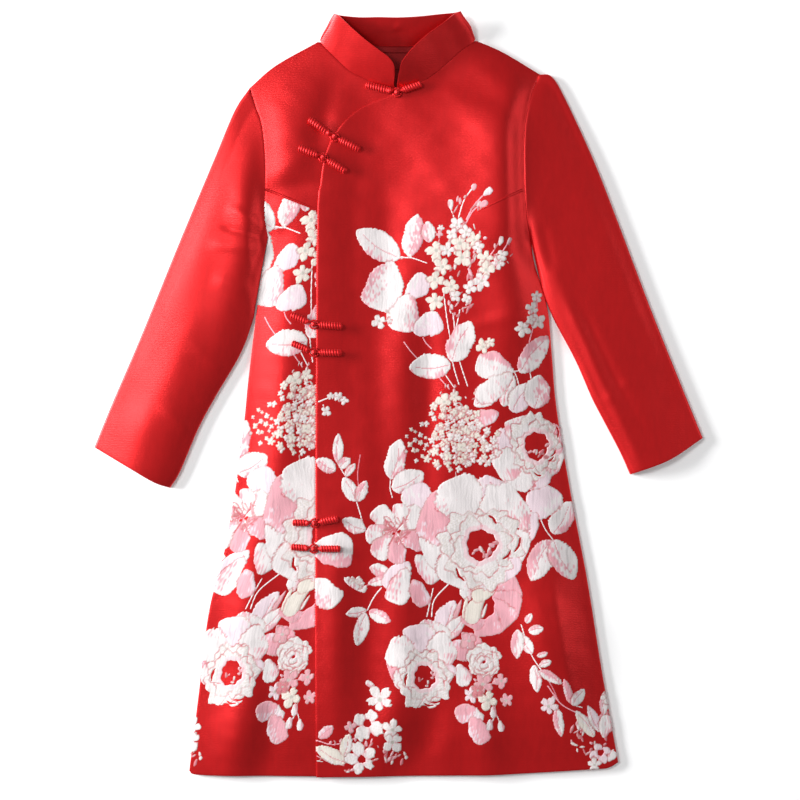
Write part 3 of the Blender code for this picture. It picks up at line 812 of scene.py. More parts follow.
def even_rows(route):
    """Rows of x, y, z, radius at even steps along a cord, smoothed, and the steps."""
    rows = np.asarray(route, float)
    gaps = np.linalg.norm(np.diff(rows[:, :3], axis=0), axis=1)
    travel = np.concatenate([[0], np.cumsum(gaps)])
    steps = np.linspace(0, travel[-1], int(travel[-1] / CORD_STEP))
    fine = np.stack([np.interp(steps, travel, rows[:, axis]) for axis in range(4)], axis=1)
    kernel = np.ones(5) / 5
    for axis in range(4):
        padded = np.pad(fine[:, axis], 2, mode="edge")
        fine[:, axis] = np.convolve(padded, kernel, mode="valid")
    return fine, steps


def wound_tube(route):
    """Points and faces of a cord through x, y, z, radius rows, ribbed by its winding."""
    fine, steps = even_rows(route)
    end = np.minimum(steps, steps[-1] - steps)
    cap = np.sqrt(np.clip(1 - (1 - np.clip(end / CORD_CAP, 0, 1)) ** 2, 0.02, 1))
    ahead = np.gradient(fine[:, :3], axis=0)
    ahead /= np.linalg.norm(ahead, axis=1, keepdims=True)
    side = np.cross(ahead, (0, 0, 1))
    side /= np.linalg.norm(side, axis=1, keepdims=True)
    top = np.cross(side, ahead)
    angle = np.linspace(0, 2 * math.pi, CORD_SIDES, endpoint=False)
    turn = steps[:, None] / WINDING_PITCH + angle[None, :] / (2 * math.pi)
    rib = 0.76 + 0.26 * np.abs(np.sin(math.pi * turn)) ** 0.7
    radius = (fine[:, 3] * cap)[:, None] * rib
    wide = 1 + BAR_FLATNESS * np.clip((fine[:, 3] - CORD_RADIUS) / (BAR_RADIUS - CORD_RADIUS), 0, 1)
    spread = wide[:, None, None] * np.cos(angle)[None, :, None] * side[:, None]
    rim = spread + np.sin(angle)[None, :, None] * top[:, None]
    points = fine[:, None, :3] + radius[..., None] * rim
    return points.reshape(-1, 3), capped_faces(len(steps), CORD_SIDES, -1)


def knot_ball(knot, heading):
    """A ball knot: a ball with the cord's turns raised across it."""
    face = outer_face(knot[0], knot[1], KNOT_RADIUS)
    centre = np.array([knot[0], knot[1], face + FROG_GAP + KNOT_RADIUS * KNOT_HEIGHT])
    rows, columns = KNOT_GRID
    polar = np.linspace(0.06, math.pi - 0.06, rows)[:, None]
    angle = np.linspace(0, 2 * math.pi, columns, endpoint=False)[None, :]
    turn = angle - math.atan2(heading[1], heading[0])
    ridge = np.abs(np.sin(1.5 * turn + 2.2 * np.cos(polar)))
    radius = KNOT_RADIUS * (0.86 + 0.17 * ridge ** 0.7)
    ball = grid_of(radius * np.sin(polar) * np.cos(angle), radius * np.sin(polar) * np.sin(angle),
                   KNOT_HEIGHT * radius * np.cos(polar))
    return (centre + ball).reshape(-1, 3), capped_faces(rows, columns, 1)


def joined(parts):
    """Several sets of points and faces as one."""
    points, faces, start = [], [], 0
    for part_points, part_faces in parts:
        points.append(part_points)
        faces += [[index + start for index in face] for face in part_faces]
        start += len(part_points)
    return np.vstack(points), faces


def make_frogs():
    for number, (lx, ly, kx, ky, ex, ey) in enumerate(FROGS, start=1):
        loop = wound_tube(loop_route((lx, ly), (kx, ky)))
        _, _, heading, _ = heading_from((kx, ky), (ex, ey))
        knot = joined([wound_tube(knot_route((kx, ky), (ex, ey))), knot_ball((kx, ky), heading)])
        for kind, shape in (("loop", loop), ("knot", knot)):
            name = f"frog_{number}_{kind}"
            new_piece(f"{name}_cord", *shape, "frog", (name,), "frog_cord")


# Bust darts: from the armhole to the point, x and y.
DARTS = [
    ((-170, 261.5), (-102, 235), front_top),
    ((158, 260), (95, 229.5), over_top),
]
DART_MARGIN = 2.2           # plain cloth below the dart's stitching
DART_HALF_WIDTH, DART_BULGE, DART_SINK = 1.7, 0.75, 0.15


# ---------------------------------------------------------------- woven flowers

# Yarn colours, linear.
WHITE = np.array([0.78, 0.73, 0.735])
CREAM = np.array([0.76, 0.70, 0.63])
LILAC = np.array([0.79, 0.64, 0.70])
PINK = np.array([0.76, 0.36, 0.42])
ROSE = np.array([0.60, 0.16, 0.20])
GRAIN = np.array([0.52, 0.46, 0.37])     # the metal-cream grains along petal rims
GAP = np.array([0.50, 0.10, 0.12])
# Painted shade laid along the edges of the figures, and how far in from an edge it reaches.
EDGE_SHADE = np.array([0.34, 0.20, 0.18])
EDGE_SHADE_REACH = 1.5
TOOTH_PITCH = 3.6           # of a leaf's or a petal's edge
STEM_WIDTH = 1.8
STROKE_STEP = 0.6           # between the points of a drawn line
GOLDEN_ANGLE = 2.39996
CLUSTER_SCATTER = 0.16      # of a blossom's size, off its even place in a head
RIB_PITCH = 3.4             # the crinkle's ribs
CELL = 1.1                  # canvas cell
SUNK = -0.6                 # height of a cell with no yarn float, below the cloth
HIGHEST = 9                 # above any figure
CANVAS_LOW, CANVAS_HIGH = (-110, -492), (290, 275)
BODICE_LOW = -150           # the over front's flowers are two pieces, split at this height
FLOWER_MARGIN = 0.9         # plain cloth beside a panel's edges
TUCK = 2.0                  # how far the under front's flowers run in under the over front
RELIEF = 0.45               # the share of its drawn height a figure stands up
TONES = {
    "white": (WHITE, PINK),
    "lilac": (LILAC, WHITE),
    "pink": (PINK, LILAC),
    "rose": (ROSE, PINK),
    "cream": (CREAM, WHITE),
}


class Canvas:
    """Cells of cloth on which the woven figures are drawn, later ones over earlier ones."""

    def __init__(self, low, high):
        self.x, self.y = np.meshgrid(np.arange(low[0], high[0], CELL),
                                     np.arange(low[1], high[1], CELL))
        self.low = low
        self.rise = np.full(self.x.shape, SUNK)
        self.colour = np.broadcast_to(GAP, self.x.shape + (3,)).copy()

    def part(self, x, y, reach):
        """The cells within `reach` of a point: their slices, x and y."""
        left = int(max((x - reach - self.low[0]) / CELL, 0))
        right = int(max((x + reach - self.low[0]) / CELL + 2, 0))
        low = int(max((y - reach - self.low[1]) / CELL, 0))
        high = int(max((y + reach - self.low[1]) / CELL + 2, 0))
        window = (slice(low, high), slice(left, right))
        return window, self.x[window], self.y[window]

    def lay(self, window, edge, colour, rise, gap=1.3):
        """Lays a figure: `edge` is the depth inside its outline, in millimetres."""
        old, height = self.colour[window], self.rise[window]
        inside = edge > 0
        rim = (edge <= 0) & (edge > -gap)
        # Where the new figure covers older yarn, a rim of that yarn sinks and turns towards the ground red:
        # the ground showing between the figures, and painted shadow of the upper figure.
        over = rim & (height > 0)
        deep = smoothstep(0.62 + 0.6 * ripple(self.x[window][over], self.y[window][over], 91, 16))
        share = (0.25 + 0.6 * deep)[:, None]
        old[over] = (1 - share) * old[over] + share * GAP
        height[over] *= 1 - 0.7 * deep
        bare = rim & (height <= 0)
        height[bare] = np.maximum(height[bare], np.clip(edge[bare], SUNK, 0))
        old[bare] = colour[bare]
        old[inside] = colour[inside]
        height[inside] = np.minimum(rise[inside], 1.1 * edge[inside] + 0.05)


def weave(x, y, seed, base, accent, amount, speckle):
    """Colour and height of yarn floats. The accent yarn shows by `amount`, 0 to 1, in upright
    streaks, and cream grains by `speckle`. The yarn is darker between the ribs' crests as painted shade."""
    streak = ripple(x * 2.6, y * 0.8, seed + 1, 7) + 0.8 * ripple(x, y, seed + 8, 14)
    mix = smoothstep((amount + 0.20 * streak - 0.40) / 0.16)[..., None]
    colour = base * (1 - mix) + accent * mix
    wander = 0.5 * ripple(x, y * 0.35, seed + 5, 15) + 0.2 * ripple(x, y * 0.6, seed + 6, 6)
    fine = 0.5 + 0.5 * np.cos(2 * math.pi * (x / RIB_PITCH + wander))
    broad = 0.5 + 0.5 * np.cos(2 * math.pi * (x / (1.9 * RIB_PITCH) + 0.7 * wander))
    crest = 0.6 * fine + 0.4 * broad
    strength = 0.25 + 0.75 * smoothstep(0.5 + 0.6 * ripple(x, y * 0.4, seed + 7, 13))
    # Painted shade: the yarn is darker in the troughs between the ribs.
    colour = colour * (1 - 0.28 * strength * (1 - crest))[..., None]
    colour = colour * (1 - 0.08 * smoothstep(ripple(x, y, seed + 9, 22)))[..., None]
    grain = ripple(x, y, seed + 2, 2.2)
    dots = (speckle * smoothstep((grain + 0.05) / 0.45))[..., None]
    colour = colour * (1 - 0.62 * dots) + GRAIN * 0.62 * dots
    return np.clip(colour, 0, 1), 0.26 * strength * crest + 0.10 * speckle * grain


def edge_shaded(colour, edge, strength):
    """The yarn's colour, darker along a figure's edge: painted shade where the figure meets the cloth or the
    yarn below it.
    """
    painted_shade = (strength * smoothstep((EDGE_SHADE_REACH - edge) / EDGE_SHADE_REACH))[..., None]
    return colour * (1 - painted_shade) + EDGE_SHADE * painted_shade


def domed(edge, height, shoulder=1.3):
    return 0.18 + height * (1 - np.exp(-np.clip(edge, 0, None) / shoulder))


def petal(canvas, x, y, turn, length, width, tone, seed, blunt, saw, frill, side=1.0, accent=0.2):
    """One petal from its base at x, y towards `turn` degrees; `saw` gives it teeth."""
    window, gx, gy = canvas.part(x, y, length * 1.25)
    c, s = cos_sin(turn)
    wave = ripple(gx, gy, seed + 3, max(7, length * 0.4))
    fine = ripple(gx, gy, seed + 4, 4.0)
    along = ((gx - x) * c + (gy - y) * s) / length
    across = (-(gx - x) * s + (gy - y) * c) / (width / 2)
    inside = np.clip(along, 0, 1)
    narrow = 0.62
    peak = narrow / (narrow + blunt)
    top = peak ** narrow * (1 - peak) ** blunt
    profile = inside ** narrow * (1 - inside) ** blunt / top
    teeth = saw * (np.abs(np.mod(inside * length / TOOTH_PITCH, 1) - 0.35) - 0.3)
    profile = profile * (1 + frill * wave) + 0.05 * fine * (frill > 0)
    depth = (profile - np.abs(across)) * width / 2 - teeth
    edge = np.minimum(depth, np.minimum(along, 1 - along) * length + 0.2 * wave)
    base, other = TONES[tone]
    amount = accent + 0.42 * side * across * (1 - 0.3 * along)
    rim = 0.75 * smoothstep((3.4 - edge) / 2.5) * smoothstep(0.4 + ripple(gx, gy, seed + 10, 20))
    rim = rim + 0.12
    colour, relief = weave(gx, gy, seed, base, other, amount, rim)
    # How strongly painted shade darkens the petal along its edge.
    strength = 0.25 + 0.5 * smoothstep(0.5 + ripple(gx, gy, seed + 12, 18))
    canvas.lay(window, edge, edge_shaded(colour, edge, strength), domed(edge, 0.45) + relief)


def leaf(canvas, x, y, turn, length, width, tone, seed, side):
    """A toothed leaf with one half in the accent yarn and an open midrib."""
    petal(canvas, x, y, turn, length, width, tone, seed, 0.72, 0.9, 0.08, side,
          0.22 + 0.07 * (seed % 4))
    c, s = cos_sin(turn)
    bow = 0.05 * length * side
    vein = [(x + 0.06 * length * c, y + 0.06 * length * s),
            (x + 0.45 * length * c - bow * s, y + 0.45 * length * s + bow * c),
            (x + 0.84 * length * c, y + 0.84 * length * s)]
    stroke(canvas, vein, 1.0, 0.5 * GAP + 0.5 * PINK, on_yarn=True)


def any_seed(rng):
    return int(rng.integers(10000))


def any_side(rng):
    return rng.choice([-1.0, 1.0])


def fan_petal(canvas, x, y, turn, reach, spread, seed, blush, side, frill, flat=1.0):
    """A broad white petal of a round flower: a fan out to `reach`."""
    window, gx, gy = canvas.part(x, y, reach * 1.35)
    radius = np.hypot(gx - x, (gy - y) / flat)
    angle = np.degrees(np.arctan2((gy - y) / flat, gx - x)) - turn
    swing = (np.mod(angle + 180, 360) - 180) / spread
    lobes = np.sin(3.1 * swing * 2 + seed) + 0.6 * np.sin(7.3 * swing * 2 + 2 * seed)
    limit = reach * np.clip(1 - np.abs(swing) ** 3.2, 0, 1) ** 0.42 * (1 + 0.3 * frill * lobes)
    limit = limit + 0.45 * ripple(gx, gy, seed + 4, 4)
    edge = np.minimum(limit - radius, radius)
    share = np.clip(radius / reach, 0, 1.2)
    base, other = TONES["white"]
    amount = blush * (1.35 - 1.3 * share) + 0.22 * side * swing
    veins = 0.5 + 0.5 * np.cos(math.radians(spread) * swing * reach * 0.9)
    rim = 0.8 * smoothstep((share - 0.62) / 0.25)
    colour, relief = weave(gx, gy, seed, base, other, amount, rim)
    colour = colour * (1 - 0.07 * veins * (share > 0.2))[..., None]
    # How strongly painted shade darkens the fan petal along its edge.
    strength = 0.2 + 0.5 * smoothstep(0.4 + ripple(gx, gy, seed + 12, 18))
    colour = edge_shaded(colour, edge, strength)
    canvas.lay(window, edge, colour, domed(edge, 0.42 + 0.22 * (1 - share), 1.5) + relief)


def blossom(canvas, x, y, size, tone, seed, petals):
    """A small flower of a few round petals."""
    window, gx, gy = canvas.part(x, y, size * 1.3)
    radius, angle = np.hypot(gx - x, gy - y), np.arctan2(gy - y, gx - x)
    lobe = np.abs(np.cos(petals / 2 * (angle + seed)))
    uneven = 1 + 0.14 * np.sin(angle + 3 * seed) + 0.10 * ripple(gx, gy, seed, 6)
    reach = size * (0.42 + 0.58 * lobe ** 0.55) * uneven
    edge = (reach - radius) * 0.85
    base, other = TONES[tone]
    colour, relief = weave(gx, gy, seed, base, other, 0.12 + 0.25 * (1 - lobe), 0.5)
    parted = (smoothstep((0.34 - lobe) / 0.3) * smoothstep((radius / size - 0.15) / 0.2))[..., None]
    colour = colour * (1 - 0.7 * parted) + (0.6 * GAP + 0.4 * PINK) * 0.7 * parted
    middle = smoothstep((0.22 - radius / size) / 0.1)[..., None]
    colour = colour * (1 - middle) + CREAM * 0.6 * middle
    # Painted shade along the blossom's edge.
    colour = edge_shaded(colour, edge, 0.75)
    canvas.lay(window, edge, colour, domed(edge, 0.38, 1.1) + relief - 0.15 * parted[..., 0], 1.1)


def hole(canvas, x, y, size, seed, flat=1.0):
    """Leaves the ground cloth showing in a ragged round."""
    window, gx, gy = canvas.part(x, y, size * 1.6)
    angle = np.arctan2(gy - y, gx - x)
    reach = size * (1 + 0.06 * np.sin(3 * angle + seed) + 0.05 * np.sin(8 * angle + 2 * seed))
    away = np.hypot(gx - x, (gy - y) / flat) - reach + 0.5 * ripple(gx, gy, seed, 5)
    height, colour = canvas.rise[window], canvas.colour[window]
    height[...] = np.minimum(height, np.clip(away, SUNK, HIGHEST))
    ring = (away > 0) & (away < 0.35 * size) & (height > 0)
    colour[ring] = 0.6 * colour[ring] + 0.4 * PINK


def part_round(canvas, route, width):
    """The middle of a line of points, and the part of the canvas round it."""
    middle = (route.min(axis=0) + route.max(axis=0)) / 2
    reach = float(np.abs(route - middle).max()) + width + 2
    return middle, *canvas.part(*middle, reach)


def stroke(canvas, points, width, colour, on_yarn=False):
    """A drawn line: a stem, a vein or a stamen. `on_yarn` only tints what is woven already."""
    coarse = smooth_points(points, 6)
    length = float(np.linalg.norm(np.diff(coarse, axis=0), axis=1).sum())
    route = smooth_points(points, max(3, int(length / (len(points) - 1) / STROKE_STEP)))
    _, window, gx, gy = part_round(canvas, route, width)
    edge = width / 2 - distance_to(route, gx, gy) + 0.12 * ripple(gx, gy, 77, 5)
    if on_yarn:
        mark = (edge > 0) & (canvas.rise[window] > 0)
        canvas.colour[window][mark] = colour
        canvas.rise[window][mark] *= 0.5
        return
    shape = np.broadcast_to(np.asarray(colour, float), gx.shape + (3,)).copy()
    shape *= (1 + 0.08 * ripple(gx, gy, 78, 4))[..., None]
    canvas.lay(window, edge, shape, np.full(gx.shape, 0.45), 0.9)


def cut(canvas, points, width):
    """A slit between petals that shows the ground, widest in its middle."""
    route = smooth_points(points, 24)
    middle, window, gx, gy = part_round(canvas, route, width)
    half = np.linalg.norm(route[-1] - route[0]) / 2
    off = np.hypot(gx - middle[0], gy - middle[1]) / max(half, 1)
    wide = width / 2 * (np.clip(1.15 - off ** 2, 0, 1) - 0.12) * (1 + 0.25 * ripple(gx, gy, 55, 5))
    away = distance_to(route, gx, gy) - wide
    height = canvas.rise[window]
    height[...] = np.minimum(height, np.clip(away, SUNK, HIGHEST))


def cluster(canvas, x, y, reach_x, reach_y, count, size, seed):
    """A round head of many small blossoms with the ground showing between them."""
    rng = np.random.default_rng(seed)
    tones = ("cream", "white")
    scatter = CLUSTER_SCATTER * size
    for index in rng.permutation(count):
        share = math.sqrt((index + 0.5) / count)
        angle = index * GOLDEN_ANGLE
        edge_of_head = 1 + 0.16 * math.sin(3 * angle + seed) + 0.10 * math.sin(7 * angle)
        spot_x = x + reach_x * share * edge_of_head * math.cos(angle) + rng.normal(0, scatter)
        spot_y = y + reach_y * share * edge_of_head * math.sin(angle) + rng.normal(0, scatter)
        grown = size * rng.uniform(0.72, 1.15) * (1 - 0.25 * share)
        tone = tones[int(rng.integers(len(tones)))]
        blossom(canvas, spot_x, spot_y, grown, tone, int(rng.integers(1000)), int(rng.integers(4, 6)))


def dabs(canvas, x, y, reach_x, reach_y, count, size, seed, tones=("pink", "rose", "white"),
         lean=80.0):
    """Loose small brush dabs round a spray."""
    rng = np.random.default_rng(seed)
    for index in range(count):
        share, angle = math.sqrt(rng.random()), rng.uniform(0, 2 * math.pi)
        petal(canvas, x + reach_x * share * math.cos(angle), y + reach_y * share * math.sin(angle),
              rng.normal(lean, 35), size * rng.uniform(0.5, 1.5), size * rng.uniform(0.25, 0.5),
              tones[index % len(tones)], seed + index, 0.6, 0, 0.15)


def heart(canvas, x, y, size, seed, flat):
    """The open centre of a flower: ground cloth with loose brushed dabs in its lower half."""
    rng = np.random.default_rng(seed)
    hole(canvas, x, y, size, seed, flat)
    for index in range(9):
        angle = math.radians(rng.uniform(-150, 20))
        reach = size * rng.uniform(0.45, 0.95)
        petal(canvas, x + reach * math.cos(angle), y + reach * flat * math.sin(angle),
              rng.normal(40, 30), size * rng.uniform(0.35, 0.6), size * rng.uniform(0.16, 0.3),
              ("rose", "pink", "pink", "white")[index % 4], seed + index, 0.5, 0, 0.2)


def peony(canvas, x, y, size, seed, flat, blush, opened, shift):
    """An open peony: broad round petals behind, a bowl of petals in front of them, and an open
    centre. `shift` moves the bowl, in shares of the size, for a flower seen from one side."""
    rng = np.random.default_rng(seed)
    tones = ["white", "white", "lilac", "white", "pink", "white", "white", "lilac"]
    first = rng.uniform(0, 360)
    count = len(tones)
    for index in rng.permutation(count):
        turn = first + 360 * index / count + rng.normal(0, 5)
        c, s = cos_sin(turn)
        s *= flat
        length = size * rng.uniform(0.72, 0.86)
        petal(canvas, x + 0.16 * size * c, y + 0.16 * size * s, math.degrees(math.atan2(s, c)),
              length, length * rng.uniform(0.95, 1.15), tones[index], any_seed(rng), 0.30, 0,
              0.13, any_side(rng), blush * rng.uniform(0.1, 0.9))
    bx, by = x + shift[0] * size, y + shift[1] * size
    for count, reach, spread in ((6, 0.66, 50), (5, 0.50, 58)):
        first = rng.uniform(0, 360)
        for index in rng.permutation(count):
            turn = first + 360 * index / count + rng.normal(0, 8)
            fan_petal(canvas, bx, by, turn, reach * size * rng.uniform(0.9, 1.1), spread,
                      any_seed(rng), blush * rng.uniform(0.3, 1.3), any_side(rng), 0.30, flat)
        for turn in rng.uniform(0, 360, 2):
            arc = []
            for step, out in ((-13, 0.86), (0, 0.97), (13, 1.02)):
                c, s = cos_sin(turn + step)
                arc.append((bx + out * reach * size * c, by + out * reach * size * flat * s))
            cut(canvas, arc, 0.04 * size)
    heart(canvas, bx, by, opened * size, seed, flat)


def open_flower(canvas, x, y, size, seed):
    """A loose flower of separate petals round a tuft of stamens."""
    rng = np.random.default_rng(seed)
    count = 8
    for index in range(count):
        turn = 360 * index / count + rng.normal(0, 9)
        c, s = cos_sin(turn)
        length = size * rng.uniform(0.72, 1.0)
        petal(canvas, x + 0.12 * size * c, y + 0.12 * size * s, turn, length,
              length * rng.uniform(0.62, 0.8), "white" if rng.random() > 0.2 else "pink",
              any_seed(rng), 0.34, 0.25, 0.15, any_side(rng), rng.uniform(0.15, 0.4))
    for index in range(12):
        turn = rng.uniform(0, 2 * math.pi)
        far = size * rng.uniform(0.25, 0.55)
        stroke(canvas, [(x, y), (x + far * math.cos(turn), y + far * math.sin(turn))], 1.3,
               (GAP, WHITE, PINK)[index % 3])
    dabs(canvas, x, y, 0.45 * size, 0.4 * size, 14, 0.2 * size, seed, ("rose", "pink", "white"), 90)


def rose(canvas, x, y, size, seed, flat, blush):
    """A fuller flower: outer petals, then a small cup of curled ones with a slit of a centre."""
    rng = np.random.default_rng(seed)
    for count, reach, spread in ((6, 1.0, 50), (5, 0.78, 56), (4, 0.56, 62), (3, 0.36, 70)):
        first = rng.uniform(0, 360)
        for index in rng.permutation(count):
            turn = first + 360 * index / count + rng.normal(0, 8)
            fan_petal(canvas, x, y, turn, reach * size * rng.uniform(0.86, 1.1),
                      spread * rng.uniform(0.8, 1.1), any_seed(rng),
                      blush * rng.uniform(0.4, 1.6), any_side(rng), 0.12, flat)
    hole(canvas, x, y, 0.09 * size, seed, flat)


def half_flower(canvas, x, y, size, seed, turn):
    """A flower seen from its side: fans one over the other about one direction."""
    rng = np.random.default_rng(seed)
    fan, blush = 150, 0.4
    for count, reach, width in ((5, 1.0, 1.0), (4, 0.74, 0.8), (3, 0.5, 0.6)):
        for index in range(count):
            lean = turn + width * fan * ((index + 0.5) / count - 0.5) + rng.normal(0, 4)
            fan_petal(canvas, x, y, lean, reach * size * rng.uniform(0.9, 1.1),
                      26 * rng.uniform(0.85, 1.2), any_seed(rng),
                      blush * rng.uniform(0.4, 1.5), any_side(rng), 0.12)


# The flower turned away, in shares of its size. Broad petals behind: turn, length, width.
SIDE_BROAD = [(60, 0.95, 0.6), (22, 1.0, 0.75), (-14, 0.98, 0.8), (-48, 0.95, 0.8),
              (-84, 0.95, 0.75), (-118, 0.8, 0.6)]
# Petals folded over its open middle: x, y, turn, length, width, tone.
SIDE_FOLDED = [
    (0.35, 0.30, 192, 0.62, 0.20, "white"), (0.15, 0.42, 200, 0.5, 0.14, "cream"),
    (-0.42, 0.05, 262, 0.55, 0.14, "cream"), (-0.55, 0.0, 250, 0.5, 0.12, "pink"),
    (-0.02, -0.08, 258, 0.42, 0.10, "cream"), (0.10, -0.10, 250, 0.40, 0.09, "white"),
    (0.02, 0.22, 244, 0.92, 0.40, "cream"), (0.30, 0.22, 196, 0.62, 0.34, "cream"),
]


def side_flower(canvas, x, y, size, seed):
    """A flower turned away: broad pink petals to the right and below, cream ones folded over
    an open middle."""
    for index, (turn, length, width) in enumerate(SIDE_BROAD):
        petal(canvas, x, y, turn, length * size, width * size, "pink", seed + index, 0.24, 0.6,
              0.1, 1.0, 0.05)
    hole(canvas, x - 0.02 * size, y - 0.12 * size, 0.30 * size, seed, 1.3)
    for index, (dx, dy, turn, length, width, tone) in enumerate(SIDE_FOLDED):
        petal(canvas, x + dx * size, y + dy * size, turn, length * size, width * size, tone,
              seed + 20 + index, 0.34, 0, 0.12, 1.0, 0.02)


# ---- the bouquet, in millimetres on the over front ----

# Stems: tone, then points.
STEMS = [
    ("white", (1, 173), (15, 174), (36, 167)), ("white", (-12, 171), (0, 175), (12, 174)),
    ("pink", (31, 72), (35, 65), (42, 58)), ("white", (57, 134), (61, 100), (67, 62), (68, 44)),
    ("white", (78, 107), (74, 88), (69, 74)), ("white", (69, 103), (71, 88), (72, 70)),
    ("pink", (7, 66), (15, 55), (25, 44)), ("white", (69, 40), (72, 28), (77, 12)),
    ("white", (77, 44), (82, 28), (88, 10)), ("pink", (48, 25), (56, 16), (65, 6)),
    ("white", (58, 27), (64, 18), (71, 8)), ("white", (94, 262), (83, 246), (76, 224)),
    ("pink", (110, 255), (96, 240), (86, 222)), ("pink", (104, 241), (94, 232), (84, 214)),
    ("white", (66, 236), (70, 226), (74, 212)), ("pink", (129, 196), (122, 184), (112, 170)),
    ("pink", (140, 194), (134, 184), (124, 168)), ("pink", (52, 212), (52, 200), (50, 186)),
    ("pink", (177, 120), (175, 100), (166, 64)), ("white", (138, 23), (146, 28), (156, 30)),
    ("white", (118, 18), (124, 10), (134, -2)), ("white", (147, 29), (151, 20), (154, 8)),
    ("white", (168, 26), (170, 14), (173, 0)), ("white", (-10, -108), (-11, -120), (-8, -132)),
    ("white", (182, -162), (188, -174), (197, -186)), ("white", (42, -284), (46, -262), (68, -238)),
    ("white", (36, -284), (40, -266), (44, -248)), ("white", (-43, -174), (-48, -156), (-54, -136)),
    ("white", (-54, -136), (-64, -112), (-78, -88)), ("rose", (-49, -78), (-52, -100), (-51, -124)),
    ("white", (-22, -247), (-32, -260), (-40, -276)), ("rose", (-54, -246), (-40, -244), (-24, -236)),
    ("white", (156, -294), (168, -330), (186, -358)), ("rose", (186, -358), (196, -374), (204, -392)),
    ("pink", (190, -372), (206, -394), (226, -406), (246, -414)),
    ("white", (214, -390), (222, -396), (234, -400)),
    ("white", (123, -398), (123, -408), (117, -424)), ("white", (122, -404), (127, -414), (131, -426)),
    ("pink", (-104, -442), (-82, -447), (-52, -438)), ("pink", (-104, -462), (-88, -470), (-70, -474)),
    ("white", (-102, -10), (-92, -6), (-78, -3)), ("white", (-96, -14), (-94, -22), (-90, -28)),
]

# Leaves: x, y of the base, turn, length, width, tone, accent side.
LEAVES = [
    (1, 173, 147, 66, 37, "white", 1), (13, 175, 78, 56, 27, "white", -1),
    (39, 193, 94, 28, 18, "white", 1), (67, 41, 64, 58, 33, "white", 1),
    (67, 37, 184, 54, 34, "white", 1), (154, 27, 52, 60, 30, "white", 1),
    (118, 8, 200, 24, 16, "cream", 1), (124, 4, 215, 34, 22, "white", -1),
    (133, -16, 72, 42, 21, "white", 1), (144, -23, 56, 44, 30, "lilac", 1),
    (174, -19, 82, 44, 34, "white", -1), (-10, -109, 76, 53, 28, "white", -1),
    (-8, -122, 28, 46, 30, "white", -1), (194, -186, 244, 58, 34, "white", -1),
    (197, -186, -62, 58, 33, "white", -1), (197, -179, 60, 48, 30, "white", -1),
    (-42, -174, 155, 33, 20, "white", 1), (-11, -230, 160, 28, 18, "white", 1),
    (-12, -236, 192, 28, 13, "white", -1), (-41, -276, 190, 27, 14, "white", 1),
    (-42, -279, -105, 44, 19, "white", -1), (-38, -277, -25, 31, 17, "white", 1),
    (51, -311, 67, 52, 30, "lilac", -1), (58, -313, 48, 40, 20, "white", -1),
    (-78, -88, 88, 38, 14, "white", 1), (-80, -98, 150, 29, 19, "white", 1),
    (-76, -94, 40, 19, 14, "white", 1), (-68, -105, 52, 21, 10, "white", 1),
    (-54, -137, 118, 35, 20, "white", -1), (-52, -137, 68, 29, 15, "white", 1),
    (162, -292, 60, 15, 9, "white", 1), (165, -302, 12, 20, 13, "white", 1),
    (170, -331, 120, 28, 15, "white", 1), (152, -300, 268, 38, 17, "white", -1),
    (176, -334, 20, 15, 8, "white", 1), (179, -346, 22, 17, 10, "white", 1),
    (172, -345, -82, 36, 15, "white", 1), (179, -352, -30, 34, 13, "white", 1),
    (201, -400, -80, 38, 14, "white", -1), (221, -395, 108, 34, 11, "pink", 1),
    (221, -397, 52, 26, 15, "white", 1), (250, -438, 125, 42, 15, "cream", -1),
    (257, -432, 114, 38, 13, "lilac", 1), (-102, -439, 40, 25, 14, "pink", 1),
    (-67, -471, 152, 44, 20, "cream", 1), (-70, -462, 76, 30, 16, "cream", -1),
    (262, -410, 88, 30, 12, "white", 1), (34, -392, -20, 16, 14, "white", 1),
]

# Petals: x, y of the base, turn, length, width, tone, accent side.
PETALS = [
    (-8, 170, 252, 66, 50, "white", -1), (9, 119, 49, 42, 27, "lilac", 1),
    (13, 128, 258, 50, 40, "white", 1), (19, 78, 28, 40, 32, "lilac", 1),
    (94, 258, 70, 10, 7, "pink", 1), (108, 252, 40, 14, 9, "lilac", 1), (102, 238, 30, 13, 8, "pink", 1),
    (67, 234, 95, 14, 7, "white", 1), (128, 188, 75, 13, 7, "white", 1), (138, 190, 60, 10, 5, "pink", 1),
    (128, -24, 200, 30, 22, "pink", 1), (172, -160, 62, 48, 44, "lilac", -1),
    (168, -188, 88, 38, 20, "lilac", 1), (35, -156, 115, 44, 38, "lilac", 1),
    (14, -214, 232, 46, 32, "lilac", 1), (10, -222, 250, 48, 30, "white", -1),
    (22, -205, -52, 44, 26, "white", -1), (18, -236, -66, 38, 24, "pink", 1),
    (-110, -198, -4, 52, 46, "white", -2), (-108, -236, -48, 44, 36, "white", -1),
    (78, -248, -30, 20, 20, "white", 1), (64, -318, -28, 34, 26, "pink", 1),
    (76, -344, -70, 30, 20, "white", 1), (80, -304, -40, 34, 20, "pink", -1),
    (92, -398, -70, 24, 22, "lilac", 1), (98, -400, 205, 28, 24, "pink", 1),
    (92, -412, -60, 38, 26, "pink", -1), (120, -398, -85, 15, 9, "white", 1),
    (117, -414, -95, 15, 9, "white", 1), (129, -416, -80, 15, 9, "white", 1),
    (-30, -374, 150, 14, 8, "white", 1), (262, -440, 80, 30, 18, "white", -1),
    (147, 28, 165, 50, 36, "white", -1.6), (145, 26, 218, 56, 28, "white", 0.4),
    (268, -470, 60, 16, 12, "white", 1),
]

